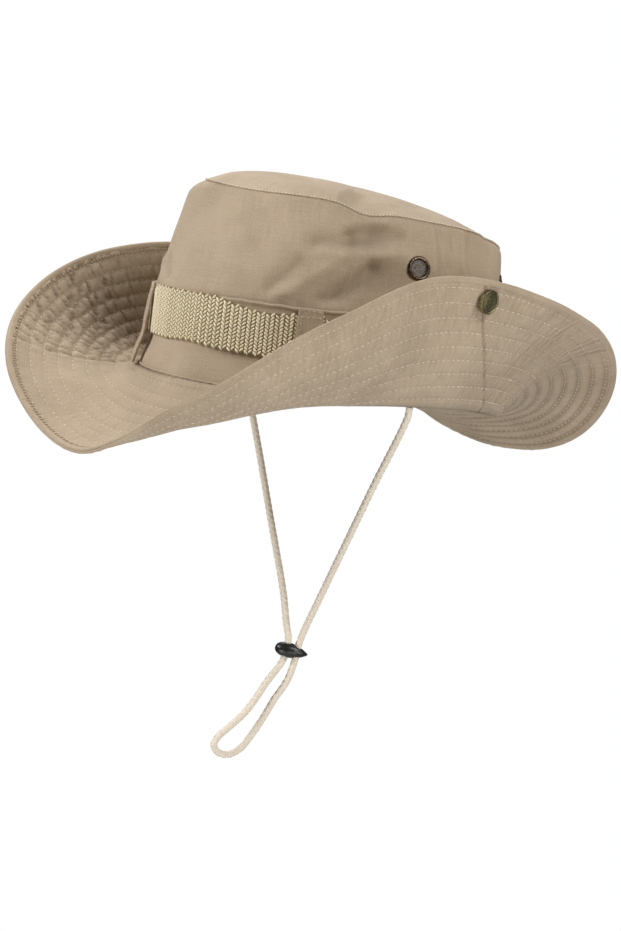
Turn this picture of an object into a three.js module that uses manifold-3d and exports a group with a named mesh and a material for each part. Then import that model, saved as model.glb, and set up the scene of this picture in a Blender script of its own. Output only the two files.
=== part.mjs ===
// A cotton sun hat: a domed crown, a wide stitched brim curled up at both sides,
// a webbing band held by four cloth loops, screened eyelets that let air through the crown,
// snaps that hold the brim up, and a chin cord with a sliding lock.
// Millimetres. +Z is up, -Y is the front of the hat, +X is the wearer's left.
// The origin is the middle of the head opening, where the hat sits on a head.

import * as THREE from 'three';
import { mergeVertices } from 'three/addons/utils/BufferGeometryUtils.js';
import Module from 'manifold-3d';

// ---- driving sizes ----
const HEAD_LENGTH = 210;        // head opening, front to back
const HEAD_WIDTH = 165;         // head opening, side to side
const BRIM_WIDTH = 75;          // crown seam to outer edge, along the cloth
const BRIM_THICK = 2.0;
const CROWN_THICK = 1.3;
const CROWN_HEIGHT = 98;        // typical height of the side wall
const DOME_RISE = 13;           // middle of the top panel above the crown's height
const DOME_SLOPE = 0.1056;      // how steeply the top panel falls towards the back
const DOME_POWER = 2.6;         // how soon the top panel turns down at its seam
const BAND_BOTTOM = 19.6;       // webbing band above the brim seam
const BAND_TALL = 25;
const BAND_THICK = 1.3;
const TAPE_TALL = 2.6;          // narrow seam tape above the band
const TAPE_THICK = 2.4;
const LOOP_WIDE = 13;
const LOOP_THICK = 1.0;
const BINDING_WIDE = 2.6;
const BINDING_THICK = 3.0;
const SNAP_WIDE = 12.6;
const STUD_WIDE = 9.5;
const VENT_WIDE = 12.6;         // flange of an eyelet
const VENT_BARREL = 9.4;        // its barrel, through the cloth
const VENT_WALL = 0.5;
const SCREEN_THICK = 0.4;
const CORD_THICK = 3.8;
const LOCK_LONG = 18.5;
const LOCK_TALL = 8.4;
const LOCK_DEEP = 9.6;
const LOCK_HOLE = 4.8;
const LOCK_HOLE_SPACING = 6.2;
const GAP = 0.3;                // clearance between neighbouring pieces

const AROUND = 72;              // stations round the hat
const A = HEAD_LENGTH / 2;
const B = HEAD_WIDTH / 2;

// The hat's shape, read every 30 degrees round the opening.
// Angle 0 is the wearer's left, 90 the back, 180 the right, 270 the front.
// root and edge are the brim's slopes in degrees, up positive, at the crown seam and at the outer edge.
// sway turns the brim's line from the seam's own normal, in degrees.
// seam is the height of the brim seam, as a share of the brim's width.
// tall and lean are the side wall's height and its lean inwards, as shares of CROWN_HEIGHT.
const SHAPE = [
  // angle, root, edge, sway,  seam,   tall,  lean
  [   0,    46,   100,  -7,   0.007,  1.003, 0.120],
  [  30,    65,    46,   0,   0.020,  0.974, 0.110],
  [  60,    57,     8,   6,  -0.027,  0.902, 0.067],
  [  90,    12,   -33,   7,  -0.047,  0.863, 0.049],
  [ 120,    -5,   -14,   1,  -0.047,  0.902, 0.067],
  [ 150,    34,    33,  -2,  -0.027,  0.974, 0.110],
  [ 180,    67,    69,   0,   0.027,  1.003, 0.120],
  [ 210,    43,    59,   7,   0.080,  1.050, 0.127],
  [ 240,    -9,    23,  13,   0.067,  1.059, 0.136],
  [ 270,   -56,   -15,  16,   0.020,  1.078, 0.148],
  [ 300,   -55,    45,   8,  -0.020,  1.059, 0.136],
  [ 330,   -10,    99,  -2,  -0.047,  1.050, 0.127],
];
const [ , ROOT, EDGE, SWAY, SEAM, TALL, LEAN] = [0, 1, 2, 3, 4, 5, 6];

// Hollows pressed into the side wall of the crown.
// angle in degrees, up as a share of the wall's height, wide in degrees,
// high and depth as shares of CROWN_HEIGHT.
const HOLLOWS = [
  // angle, up,   wide, high,  depth
  [ -16,   0.90,   9,   0.10,  0.060],
  [  -9,   0.66,   9,   0.09,  0.045],
  [ -36,   0.60,  10,   0.14,  0.022],
  [ 224,   0.62,  14,   0.14,  0.030],
  [ 160,   0.85,  12,   0.10,  0.025],
];
// A short stretch of the top seam that has sunk: angle, half width in degrees, share of CROWN_HEIGHT.
const SEAM_SAG = [ -16, 8, 0.036 ];

const rad = (d) => d * Math.PI / 180;
const mod = (a, n) => ((a % n) + n) % n;
const smooth = (t) => { const c = Math.min(Math.max(t, 0), 1); return c * c * (3 - 2 * c); };
const angleBetween = (a, b) => mod(a - b + 180, 360) - 180;

/** Value of one column of SHAPE at any angle, through its entries smoothly and closed on itself. */
function shape(column, angle) {
  const n = SHAPE.length;
  const u = mod(angle, 360) / (360 / n);
  const i = Math.floor(u) % n;
  const t = u - Math.floor(u);
  const v = (k) => SHAPE[mod(i + k, n)][column];
  const [p, q, r, s] = [v(-1), v(0), v(1), v(2)];
  return q + 0.5 * t * (r - p + t * (2 * p - 5 * q + 4 * r - s + t * (3 * (q - r) + s - p)));
}

const seamHeight = (angle) => shape(SEAM, angle) * BRIM_WIDTH;

/** Point of the head opening's oval, moved outwards by out. */
function oval(angle, out) {
  const t = rad(angle);
  const n = new THREE.Vector2(A * Math.cos(t), B * Math.sin(t)).normalize();
  return new THREE.Vector2(B * Math.cos(t) + n.x * out, A * Math.sin(t) + n.y * out);
}

/** Direction the brim runs in from the seam, seen from above. */
function brimWay(angle) {
  const t = rad(angle);
  const n = new THREE.Vector2(A * Math.cos(t), B * Math.sin(t)).normalize();
  return n.rotateAround(new THREE.Vector2(0, 0), rad(shape(SWAY, angle)));
}

/** Brim point: s along the cloth from the seam, n off its middle, towards the crown side. */
function brim(angle, s, n) {
  const a = rad(shape(ROOT, angle));
  const e = rad(shape(EDGE, angle));
  const bend = (e - a) / BRIM_WIDTH;
  const slope = a + bend * s;
  const flat = Math.abs(bend) < 1e-6;
  const run = flat ? Math.cos(a) * s : (Math.sin(slope) - Math.sin(a)) / bend;
  const rise = flat ? Math.sin(a) * s : (Math.cos(a) - Math.cos(slope)) / bend;
  const way = brimWay(angle);
  const o = oval(angle, 0);
  const r = run - n * Math.sin(slope);
  return new THREE.Vector3(o.x + way.x * r, o.y + way.y * r, seamHeight(angle) + rise + n * Math.cos(slope));
}

/** Height of the side wall above the brim seam. */
function wallTall(angle) {
  const sag = Math.exp(-((angleBetween(angle, SEAM_SAG[0]) / SEAM_SAG[1]) ** 2));
  return CROWN_HEIGHT * (shape(TALL, angle) - SEAM_SAG[2] * sag);
}

/** Side wall point: h up from the brim seam, out away from the wall's outer face. */
function wall(angle, h, out) {
  const tall = wallTall(angle);
  const front = Math.max(-Math.sin(rad(angle)), 0) ** 2;
  const waist = CROWN_HEIGHT * (0.033 + 0.019 * front);
  const bandTop = BAND_BOTTOM + BAND_TALL + TAPE_THICK;
  const up = Math.max(h - bandTop, 0) / (tall - bandTop);
  let inset = waist * smooth(h / BAND_BOTTOM) + CROWN_HEIGHT * shape(LEAN, angle) * up ** 1.15;
  for (const [at, share, wide, high, depth] of HOLLOWS) {
    const away = angleBetween(angle, at) / wide;
    const off = (h / CROWN_HEIGHT - share) / high;
    const clear = smooth((h - bandTop - 4) / 10);
    inset += CROWN_HEIGHT * depth * Math.exp(-away * away - off * off) * clear;
  }
  const p = oval(angle, out - inset);
  const share = Math.min(h / tall, 1);
  return new THREE.Vector3(p.x, p.y, seamHeight(angle) * (1 - share) + h);
}

/** Top panel point: r is 0 in the middle and 1 at the seam, lift raises it. */
function dome(angle, r, lift) {
  const seam = wall(angle, wallTall(angle), 0);
  const k = r ** DOME_POWER;
  const y = seam.y * r;
  const z = seam.z * k + (CROWN_HEIGHT + DOME_RISE - DOME_SLOPE * y) * (1 - k);
  return new THREE.Vector3(seam.x * r, y, z + lift);
}

// ---- solids from grids ----

function solid(points, faces) {
  const geometry = new THREE.BufferGeometry();
  geometry.setAttribute('position', new THREE.Float32BufferAttribute(points.flatMap((p) => [p.x, p.y, p.z]), 3));
  geometry.setIndex(faces.flat());
  let volume = 0;
  for (const [i, j, k] of faces) volume += points[i].dot(points[j].clone().cross(points[k])) / 6;
  if (volume < 0) geometry.setIndex(faces.map(([i, j, k]) => [i, k, j]).flat());
  return geometry;
}

/** A closed ring: section(angle) lists the corners of its cross-section. */
function ring(section, stations = AROUND) {
  const rows = [];
  for (let i = 0; i < stations; i++) rows.push(section(i * 360 / stations));
  const m = rows[0].length;
  const faces = [];
  for (let i = 0; i < stations; i++) {
    const k = (i + 1) % stations;
    for (let j = 0; j < m; j++) {
      const l = (j + 1) % m;
      faces.push([i * m + j, k * m + j, k * m + l], [i * m + j, k * m + l, i * m + l]);
    }
  }
  return solid(rows.flat(), faces);
}

/** A bent plate: face(u, v, side) gives its two faces over a grid. */
function plate(face, across, along) {
  const points = [];
  const at = (side, i, j) => side * (across + 1) * (along + 1) + i * (along + 1) + j;
  for (const side of [0, 1]) {
    for (let i = 0; i <= across; i++) {
      for (let j = 0; j <= along; j++) points.push(face(i / across, j / along, side));
    }
  }
  const faces = [];
  const quad = (a, b, c, d) => faces.push([a, b, c], [a, c, d]);
  for (let i = 0; i < across; i++) {
    for (let j = 0; j < along; j++) {
      quad(at(0, i, j), at(0, i, j + 1), at(0, i + 1, j + 1), at(0, i + 1, j));
      quad(at(1, i, j), at(1, i + 1, j), at(1, i + 1, j + 1), at(1, i, j + 1));
    }
  }
  for (let i = 0; i < across; i++) {
    quad(at(0, i, 0), at(0, i + 1, 0), at(1, i + 1, 0), at(1, i, 0));
    quad(at(0, i + 1, along), at(0, i, along), at(1, i, along), at(1, i + 1, along));
  }
  for (let j = 0; j < along; j++) {
    quad(at(0, 0, j + 1), at(0, 0, j), at(1, 0, j), at(1, 0, j + 1));
    quad(at(0, across, j), at(0, across, j + 1), at(1, across, j + 1), at(1, across, j));
  }
  return solid(points, faces);
}

/** A turned disc standing on a surface: point of the cloth, outward normal, profile of radius and height. */
function turned(profile, point, normal, lift, segments = 20) {
  const geometry = new THREE.LatheGeometry(profile.map(([r, z]) => new THREE.Vector2(r, z)), segments);
  geometry.applyQuaternion(new THREE.Quaternion().setFromUnitVectors(new THREE.Vector3(0, 1, 0), normal));
  geometry.translate(...point.clone().addScaledVector(normal, lift).toArray());
  return geometry;
}

const wasm = await Module();
wasm.setup();
function toManifold(geometry) {
  geometry.deleteAttribute('normal');
  geometry.deleteAttribute('uv');
  const merged = mergeVertices(geometry, 1e-4);
  const mesh = new wasm.Mesh({
    numProp: 3,
    vertProperties: new Float32Array(merged.attributes.position.array),
    triVerts: new Uint32Array(merged.index.array),
  });
  mesh.merge();
  return new wasm.Manifold(mesh);
}
function fromManifold(body) {
  const mesh = body.getMesh();
  const geometry = new THREE.BufferGeometry();
  geometry.setAttribute('position', new THREE.BufferAttribute(new Float32Array(mesh.vertProperties), 3));
  geometry.setIndex(new THREE.BufferAttribute(new Uint32Array(mesh.triVerts), 1));
  return geometry;
}
function normalOf(surface, a, b, da, db) {
  const p = surface(a + da, b).sub(surface(a - da, b));
  const q = surface(a, b + db).sub(surface(a, b - db));
  return p.cross(q).normalize();
}

const hat = new THREE.Group();
hat.name = 'sun_hat';

function add(name, geometry, color, roughness, metalness = 0) {
  const mesh = new THREE.Mesh(geometry, new THREE.MeshStandardMaterial({ color, roughness, metalness }));
  mesh.name = name;
  hat.add(mesh);
}

const CLOTH = 0xb6a58b;
const WEBBING = 0xd9cfb0;
const CORD = 0xd8cbb8;

// ---- crown ----
// One band of cloth, taller in front than behind, drawn in a little by the webbing band.
// Rows above LEVEL_TO follow the wall's own height.
const LEVEL_TO = 46;
const WALL_ROWS = [-1, 8, 20, LEVEL_TO, 60, 72, 82, 91];
const crownCloth = ring((angle) => {
  const tall = wallTall(angle);
  const stretch = (tall - LEVEL_TO) / (CROWN_HEIGHT - LEVEL_TO);
  const heights = [...WALL_ROWS.map((h) => Math.min(h, LEVEL_TO) + Math.max(h - LEVEL_TO, 0) * stretch), tall];
  const inside = heights.filter((h, k) => k !== 1).reverse();
  return [
    ...heights.map((h) => wall(angle, h, 0)),
    ...inside.map((h) => wall(angle, h, -CROWN_THICK)),
  ];
});

// Four screened eyelets, two on each side, each clinched through a hole in the cloth.
// side, place, angle and height above the brim seam
const VENTS = [
  ['left', 'front', 2.8, 72.5],
  ['left', 'back', 57, 68.5],
  ['right', 'back', 147, 68.5],
  ['right', 'front', 201.2, 72.5],
];
const wallFace = (angle, up) => wall(angle, up, 0);
let crown = toManifold(crownCloth);
for (const [side, place, angle, up] of VENTS) {
  const at = wallFace(angle, up);
  const out = normalOf(wallFace, angle, up, 4, 4);
  const turn = new THREE.Quaternion().setFromUnitVectors(new THREE.Vector3(0, 1, 0), out);
  const hole = new THREE.CylinderGeometry(VENT_BARREL / 2 + GAP, VENT_BARREL / 2 + GAP, CROWN_THICK * 8, 12);
  hole.applyQuaternion(turn);
  hole.translate(at.x, at.y, at.z);
  crown = crown.subtract(toManifold(hole));
  const bulge = VENT_WIDE ** 2 / 8 / B;        // how far the flat flange stands off the round wall at its rim
  const [bore, barrel, flange] = [VENT_BARREL / 2 - VENT_WALL, VENT_BARREL / 2, VENT_WIDE / 2];
  const [front, back] = [GAP, -CROWN_THICK - GAP - 2 * bulge];
  add(`vent_${side}_${place}`, turned([
    [bore, front + 0.5], [bore, back - 0.6], [flange * 0.94, back - 0.5], [flange * 0.94, back],
    [barrel, back], [barrel, front], [flange, front], [flange, front + 0.5], [flange * 0.86, front + 1.1],
    [bore, front + 0.5],
  ], at, out, 0, 12), 0x39342a, 0.4, 0.8);
  add(`vent_screen_${side}_${place}`, turned([
    [0, 0], [bore - GAP, 0], [bore - GAP, SCREEN_THICK], [0, SCREEN_THICK],
  ], at, out, -CROWN_THICK / 2, 12), 0x4a4c4d, 0.5, 0.7);
}
add('crown_side', fromManifold(crown), CLOTH, 0.9);

// The top panel is a shallow dome whose rim rests on the side wall.
{
  const radii = [0.28, 0.56, 0.8, 1.0];
  const points = [dome(0, 0, GAP + CROWN_THICK), dome(0, 0, GAP)];
  const faces = [];
  const first = (side, k) => 2 + (side * radii.length + k) * AROUND;
  for (const lift of [GAP + CROWN_THICK, GAP]) {
    for (const r of radii) {
      for (let i = 0; i < AROUND; i++) points.push(dome(i * 360 / AROUND, r, lift));
    }
  }
  const last = radii.length - 1;
  for (let i = 0; i < AROUND; i++) {
    const j = (i + 1) % AROUND;
    faces.push([0, first(0, 0) + i, first(0, 0) + j], [1, first(1, 0) + j, first(1, 0) + i]);
    for (let k = 0; k < last; k++) {
      const [a, b] = [first(0, k), first(0, k + 1)];
      faces.push([a + i, b + i, b + j], [a + i, b + j, a + j]);
      const [c, d] = [first(1, k), first(1, k + 1)];
      faces.push([c + i, d + j, d + i], [c + i, c + j, d + j]);
    }
    const [t, u] = [first(0, last), first(1, last)];
    faces.push([t + i, u + i, u + j], [t + i, u + j, t + j]);
  }
  add('crown_top', solid(points, faces), CLOTH, 0.9);
}

// ---- band, its tape and the four loops ----
const bandTop = BAND_BOTTOM + BAND_TALL;
add('webbing_band', ring((angle) => [
  wall(angle, BAND_BOTTOM, GAP),
  wall(angle, BAND_BOTTOM, GAP + BAND_THICK),
  wall(angle, bandTop, GAP + BAND_THICK),
  wall(angle, bandTop, GAP),
]), WEBBING, 0.85);

const tapeBottom = bandTop + GAP;
add('band_tape', ring((angle) => [
  wall(angle, tapeBottom, GAP),
  wall(angle, tapeBottom, GAP + TAPE_THICK),
  wall(angle, tapeBottom + TAPE_TALL, GAP + TAPE_THICK * 0.8),
  wall(angle, tapeBottom + TAPE_TALL, GAP),
]), CLOTH, 0.9);

// Each loop is stitched under the tape, passes over the webbing and is caught in the brim seam.
// Height as a share from foot to tape, how far a tight loop stands off the wall in millimetres,
// and how much further a slack one does.
const LOOP_STAND = [[0, 1.0, 0], [0.25, 1.9, 1.9], [0.5, 1.9, 2.1], [0.75, 1.9, 1.0], [1, 1.9, 0]];
function loopStand(v, slack) {
  let k = 0;
  while (k < LOOP_STAND.length - 2 && v > LOOP_STAND[k + 1][0]) k++;
  const [[v0, tight0, loose0], [v1, tight1, loose1]] = [LOOP_STAND[k], LOOP_STAND[k + 1]];
  const t = smooth((v - v0) / (v1 - v0));
  return tight0 + (tight1 - tight0) * t + slack * (loose0 + (loose1 - loose0) * t);
}
/** Lowest height at which something standing out from the wall clears the brim. */
function brimTop(angle, out) {
  let z = -Infinity;
  for (let s = 0; s < 16; s += 0.5) {
    const p = brim(angle, s, BRIM_THICK / 2);
    const way = brimWay(angle);
    const o = oval(angle, 0);
    const reach = (p.x - o.x) * way.x + (p.y - o.y) * way.y;
    if (reach < out + 1.0) z = Math.max(z, p.z - seamHeight(angle));
  }
  return z;
}
// name, angle of its middle, slack
const LOOPS = [
  ['left_front', -33, 0.15],
  ['left_back', 57, 1.0],
  ['right_back', 147, 0.8],
  ['right_front', 246, 2.2],
];
for (const [name, middle, slack] of LOOPS) {
  const half = (LOOP_WIDE / 2) / (Math.PI * (A + B) / 360);
  const foot = 0.8 + Math.max(...[-1, -0.5, 0, 0.5, 1].map((k) => brimTop(middle + k * half, 4)));
  const top = tapeBottom - GAP;
  add(`loop_${name}`, plate((u, v, side) => {
    const angle = middle + (2 * u - 1) * half;
    return wall(angle, foot + (top - foot) * v, loopStand(v, slack) + side * LOOP_THICK);
  }, 2, 9), CLOTH, 0.9);
}

// ---- brim ----
// Its inner end stands against the crown wall, face to face.
const rootHalf = (angle) => Math.min(BRIM_THICK / 2 / Math.cos(rad(shape(ROOT, angle))), BRIM_THICK);
function brimRoot(angle, side) {
  const o = oval(angle, GAP);
  return new THREE.Vector3(o.x, o.y, seamHeight(angle) + side * rootHalf(angle));
}
const BRIM_ROWS = [0.07, 0.2, 0.36, 0.52, 0.68, 0.84];
const brimEnd = BRIM_WIDTH - BINDING_WIDE - GAP;
add('brim', ring((angle) => {
  const rows = [...BRIM_ROWS.map((k) => k * BRIM_WIDTH), brimEnd];
  return [
    brimRoot(angle, 1),
    ...rows.map((s) => brim(angle, s, BRIM_THICK / 2)),
    ...rows.slice().reverse().map((s) => brim(angle, s, -BRIM_THICK / 2)),
    brimRoot(angle, -1),
  ];
}), CLOTH, 0.9);

add('brim_binding', ring((angle) => {
  const inner = BRIM_WIDTH - BINDING_WIDE;
  const half = BINDING_THICK / 2;
  return [
    [inner, half * 0.8], [BRIM_WIDTH - 0.8, half], [BRIM_WIDTH, half * 0.45],
    [BRIM_WIDTH, -half * 0.45], [BRIM_WIDTH - 0.8, -half], [inner, -half * 0.8],
  ].map(([s, n]) => brim(angle, s, n));
}), CLOTH, 0.9);

// ---- snaps ----
const R = SNAP_WIDE / 2;
const CAP = [[0, 0], [R, 0], [R, 0.7], [R * 0.9, 1.6], [R * 0.5, 2.2], [0, 2.4]];
const SOCKET = [[0, 0], [R * 0.86, 0], [R * 0.86, 1.6], [R * 0.7, 2.1], [R * 0.42, 2.1], [R * 0.36, 1.0], [0, 1.0]];
const S = STUD_WIDE / 2;
const STUD = [[0, 0], [S, 0], [S, 0.8], [S * 0.45, 1.0], [S * 0.45, 2.4], [0, 2.6]];

// side, angle and height of the crown's stud, angle of the brim's cap and its distance from the seam
// as a share of the brim. Folded straight up, the brim brings its socket to the stud.
const SNAPS = [
  ['left', 14.4, 0.85],
  ['right', 189.6, 0.85],
];
for (const [side, angle, share] of SNAPS) {
  const s = share * BRIM_WIDTH;
  const under = (a, t) => brim(a, t, -BRIM_THICK / 2);
  const over = (a, t) => brim(a, t, BRIM_THICK / 2);
  const down = normalOf(under, angle, s, 3, 3);
  add(`brim_snap_${side}`, turned(CAP, under(angle, s), down, 0.5, 14), 0x54503c, 0.35, 0.8);
  add(`brim_snap_socket_${side}`,
    turned(SOCKET, over(angle, s), down.clone().negate(), 0.65, 12), 0x54503c, 0.4, 0.8);
  const out = normalOf(wallFace, angle, s - BRIM_THICK, 3, 3);
  add(`crown_stud_${side}`, turned(STUD, wallFace(angle, s - BRIM_THICK), out, 0.35, 12), 0x54503c, 0.4, 0.8);
}

// ---- chin cord and its lock ----
// The lock lies across the two strands. Its long axis, and the way the strands run through it.
const lockAt = new THREE.Vector3(0, 1, -143.3);
const lockLong = new THREE.Vector3(0.56, 0.817, -0.139).normalize();
const lockDown = new THREE.Vector3(0, 0, -1).addScaledVector(lockLong, lockLong.z).normalize();
const lockFace = lockLong.clone().cross(lockDown).normalize();
const inLock = (along, down) => lockAt.clone()
  .addScaledVector(lockLong, along)
  .addScaledVector(lockDown, down);
const h = LOCK_HOLE_SPACING / 2;

// Middle line of the cord, from the left side of the crown down through the lock,
// round the hanging loop, back through the lock and up to the right side.
const cordLine = [
  [79.9, 4.5, -1.0], [79.2, 4.6, -6], [74, 4.9, -15], [55.5, 5.7, -42.6], [32.5, 7.0, -78.5],
  [12.5, 6.8, -113], [4.6, 5.3, -130],
  ...[-5.5, 0, 5.5].map((d) => inLock(h, d).toArray()),
  [1.5, -0.8, -160], [1.0, -7.5, -170.5], [0.6, -12.6, -180], [0.4, -18.6, -189.5], [0.2, -25, -197.8],
  [0.0, -32.6, -201.6], [0.0, -39.5, -200.4], [0.0, -42.6, -196.4], [0.0, -40.2, -191.9],
  [0.0, -33.6, -186.2], [-0.3, -25.3, -179], [-0.6, -18.7, -170.8], [-1.2, -13, -162.5],
  ...[5.5, 0, -5.5].map((d) => inLock(-h, d).toArray()),
  [-5.4, -0.8, -128.5], [-14, 0.8, -113], [-28.5, 2.2, -90], [-42, 3.5, -69.2], [-58.5, 4.2, -40.6],
  [-73, 4.6, -16], [-78.6, 4.6, -6], [-79.6, 4.5, 0.6],
].map((p) => new THREE.Vector3(...p));

const curve = new THREE.CatmullRomCurve3(cordLine, false, 'centripetal');
const circle = new THREE.Shape();
for (let i = 0; i < 7; i++) {
  const a = i * Math.PI * 2 / 7;
  const [x, y] = [CORD_THICK / 2 * Math.cos(a), CORD_THICK / 2 * Math.sin(a)];
  if (i === 0) circle.moveTo(x, y); else circle.lineTo(x, y);
}
circle.closePath();
add('chin_cord', new THREE.ExtrudeGeometry(circle, { steps: 62, extrudePath: curve, bevelEnabled: false }), CORD, 0.85);

// A bean-shaped bead, thick in the middle and drawn to a point at each end, with two holes.
const toLockPlace = new THREE.Matrix4().makeBasis(lockLong, lockDown.clone().negate(), lockFace.clone().negate())
  .setPosition(lockAt);
const beanProfile = [];
for (let i = 0; i <= 10; i++) {
  const x = Math.cos(Math.PI * (1 - i / 10));
  beanProfile.push(new THREE.Vector2(Math.max(1 - x * x, 0) ** 0.62, x));
}
beanProfile[0].x = 0;
beanProfile[10].x = 0;
const bean = new THREE.LatheGeometry(beanProfile, 16);
bean.rotateZ(-Math.PI / 2);
bean.scale(LOCK_LONG / 2, LOCK_TALL / 2, LOCK_DEEP / 2);
let lock = toManifold(bean);
for (const side of [-1, 1]) {
  const bore = new THREE.CylinderGeometry(LOCK_HOLE / 2, LOCK_HOLE / 2, LOCK_TALL * 2, 14);
  bore.translate(side * h, 0, 0);
  lock = lock.subtract(toManifold(bore));
}
const lockGeometry = fromManifold(lock);
lockGeometry.applyMatrix4(toLockPlace);
add('cord_lock', lockGeometry, 0x151515, 0.45);

export default hat;
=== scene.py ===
# %% [markdown]
# # A soft sun hat
# This lesson dresses a cotton sun hat: crown, quilted brim, webbing band, eyelets, snaps and chin cord.
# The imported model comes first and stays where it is. It holds the sizes, and every piece made here stands
# for one of its solids. Its box is measured straight away, to compare with the finished hat at the end.

import math

import bmesh
import bpy
import numpy as np
from mathutils import Matrix, Vector


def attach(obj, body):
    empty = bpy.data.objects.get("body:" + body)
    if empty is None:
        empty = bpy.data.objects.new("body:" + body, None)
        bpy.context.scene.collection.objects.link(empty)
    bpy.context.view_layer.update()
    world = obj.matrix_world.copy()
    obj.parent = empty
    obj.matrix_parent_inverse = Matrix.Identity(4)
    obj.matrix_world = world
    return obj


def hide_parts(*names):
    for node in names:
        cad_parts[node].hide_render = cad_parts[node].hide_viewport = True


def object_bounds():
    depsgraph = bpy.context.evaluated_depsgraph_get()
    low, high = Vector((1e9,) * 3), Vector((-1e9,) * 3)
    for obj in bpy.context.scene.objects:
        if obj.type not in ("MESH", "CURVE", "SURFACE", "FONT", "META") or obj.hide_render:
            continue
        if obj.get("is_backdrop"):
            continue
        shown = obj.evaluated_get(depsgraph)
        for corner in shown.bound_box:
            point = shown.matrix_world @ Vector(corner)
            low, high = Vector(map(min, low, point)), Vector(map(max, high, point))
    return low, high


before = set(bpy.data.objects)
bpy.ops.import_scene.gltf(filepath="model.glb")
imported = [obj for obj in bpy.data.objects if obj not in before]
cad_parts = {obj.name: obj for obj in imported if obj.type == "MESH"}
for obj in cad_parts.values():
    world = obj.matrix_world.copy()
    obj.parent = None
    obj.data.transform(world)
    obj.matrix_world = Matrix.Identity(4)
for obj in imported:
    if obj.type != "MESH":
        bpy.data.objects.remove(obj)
cad_low, cad_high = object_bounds()
MM = 0.001
print("packed hat:", len(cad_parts), "solids, box", [round(v, 4) for v in cad_high - cad_low])

# %% [markdown]
# ## Camera
# A camera can be aimed by hand, or worked out from the picture. Here the picture gives it: where the brim,
# its rows of stitching and the crown seams appear fixes the place, the tilt and the lens. The camera's own
# right, up and backward directions are the columns of its matrix, so no angle has to be turned twice.

# %% Camera
PHOTO_TALL = 931                    # pixels
FOCAL_PIXELS = 3874.6               # the lens, in pixels of that picture
SENSOR_LONG_SIDE = 36.0             # millimetres, along the taller side
CAMERA_PLACE = Vector((1.7543, -1.1838, 0.0707))
CAMERA_RIGHT = Vector((0.5507, 0.8270, 0.1131)).normalized()
CAMERA_BACK = Vector((0.8278, -0.5585, 0.0527)).normalized()

camera = bpy.data.objects.new("camera", bpy.data.cameras.new("camera"))
bpy.context.collection.objects.link(camera)
camera.data.sensor_fit = "AUTO"
camera.data.sensor_width = SENSOR_LONG_SIDE
camera.data.lens = FOCAL_PIXELS / PHOTO_TALL * SENSOR_LONG_SIDE
camera_up = CAMERA_BACK.cross(CAMERA_RIGHT)
turn = Matrix((CAMERA_RIGHT, camera_up, CAMERA_BACK)).transposed()
camera.matrix_world = Matrix.Translation(CAMERA_PLACE) @ turn.to_4x4()
bpy.context.scene.camera = camera
print("lens", round(camera.data.lens, 1), "mm")

# %% [markdown]
# ## Light
# A hat on white paper is lit by several large soft lamps, and hardly at all by the room. Each patch of cloth
# in the picture tells which directions it can see and how light it is; the lamps here stand where that
# points to: one in front to the left, one above, two at the side, and weak ones below and behind.
# The room is white where the camera sees it, and nearly dark as a light, so the far brim stays in shade.

# %% Light
WHITE = (1.0, 1.0, 1.0, 1.0)
SURROUND_LIGHT = 0.025


def soft_lamp(name, place, size, power):
    """A square lamp of that size in metres, facing the middle of the hat."""
    lamp = bpy.data.objects.new(name, bpy.data.lights.new(name, "AREA"))
    bpy.context.collection.objects.link(lamp)
    lamp.data.size = size
    lamp.data.energy = power
    lamp.location = place
    lamp.rotation_euler = (-Vector(place)).to_track_quat("-Z", "Y").to_euler()
    return lamp


soft_lamp("front_lamp", (-0.62, -1.60, 1.04), 1.0, 34)
soft_lamp("top_lamp", (-0.92, 0.56, 1.68), 1.0, 24)
soft_lamp("high_side_lamp", (1.46, 0.40, 1.30), 0.8, 21)
soft_lamp("side_lamp", (1.96, 0.32, -0.16), 0.7, 12)
soft_lamp("low_side_lamp", (1.58, -0.48, -1.14), 1.0, 9)
soft_lamp("low_front_lamp", (0.30, -1.54, -1.24), 0.9, 18)
soft_lamp("back_lamp", (-0.28, 1.93, -0.42), 0.8, 4)

world = bpy.data.worlds.new("white_room")
bpy.context.scene.world = world
world.use_nodes = True
sky = world.node_tree
seen = sky.nodes.new("ShaderNodeLightPath")
strength = sky.nodes.new("ShaderNodeMix")
strength.inputs["A"].default_value = SURROUND_LIGHT
strength.inputs["B"].default_value = 1.0
sky.links.new(seen.outputs["Is Camera Ray"], strength.inputs["Factor"])
sky.nodes["Background"].inputs["Color"].default_value = WHITE
sky.links.new(strength.outputs["Result"], sky.nodes["Background"].inputs["Strength"])
bpy.context.scene.view_settings.view_transform = "Standard"
print("seven lamps and a white room")

# %% [markdown]
# ## Shader maths in Python
# A finish can be wired by hand, one node after another, or written as an expression. Here one small class
# wraps a socket, and each operator adds the Math node that it stands for, so that a mask reads as a formula.
# Colours and directions go through Mix and Vector Math, because a Math node would turn a colour grey.

# %% Shader maths
class Wire:
    """A socket of a finish. Sums, products and powers of wires and numbers add Math nodes."""

    def __init__(self, paint, socket):
        self.paint = paint
        self.socket = socket

    def math(self, operation, first, second):
        """One Math node of that operation, on wires or numbers."""
        return self.paint.add("Math", {"operation": operation}, {0: first, 1: second})

    def __add__(self, other):
        return self.math("ADD", self, other)

    def __radd__(self, other):
        return self.math("ADD", other, self)

    def __sub__(self, other):
        return self.math("SUBTRACT", self, other)

    def __rsub__(self, other):
        return self.math("SUBTRACT", other, self)

    def __mul__(self, other):
        return self.math("MULTIPLY", self, other)

    def __rmul__(self, other):
        return self.math("MULTIPLY", other, self)

    def __pow__(self, other):
        return self.math("POWER", self, other)


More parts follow.
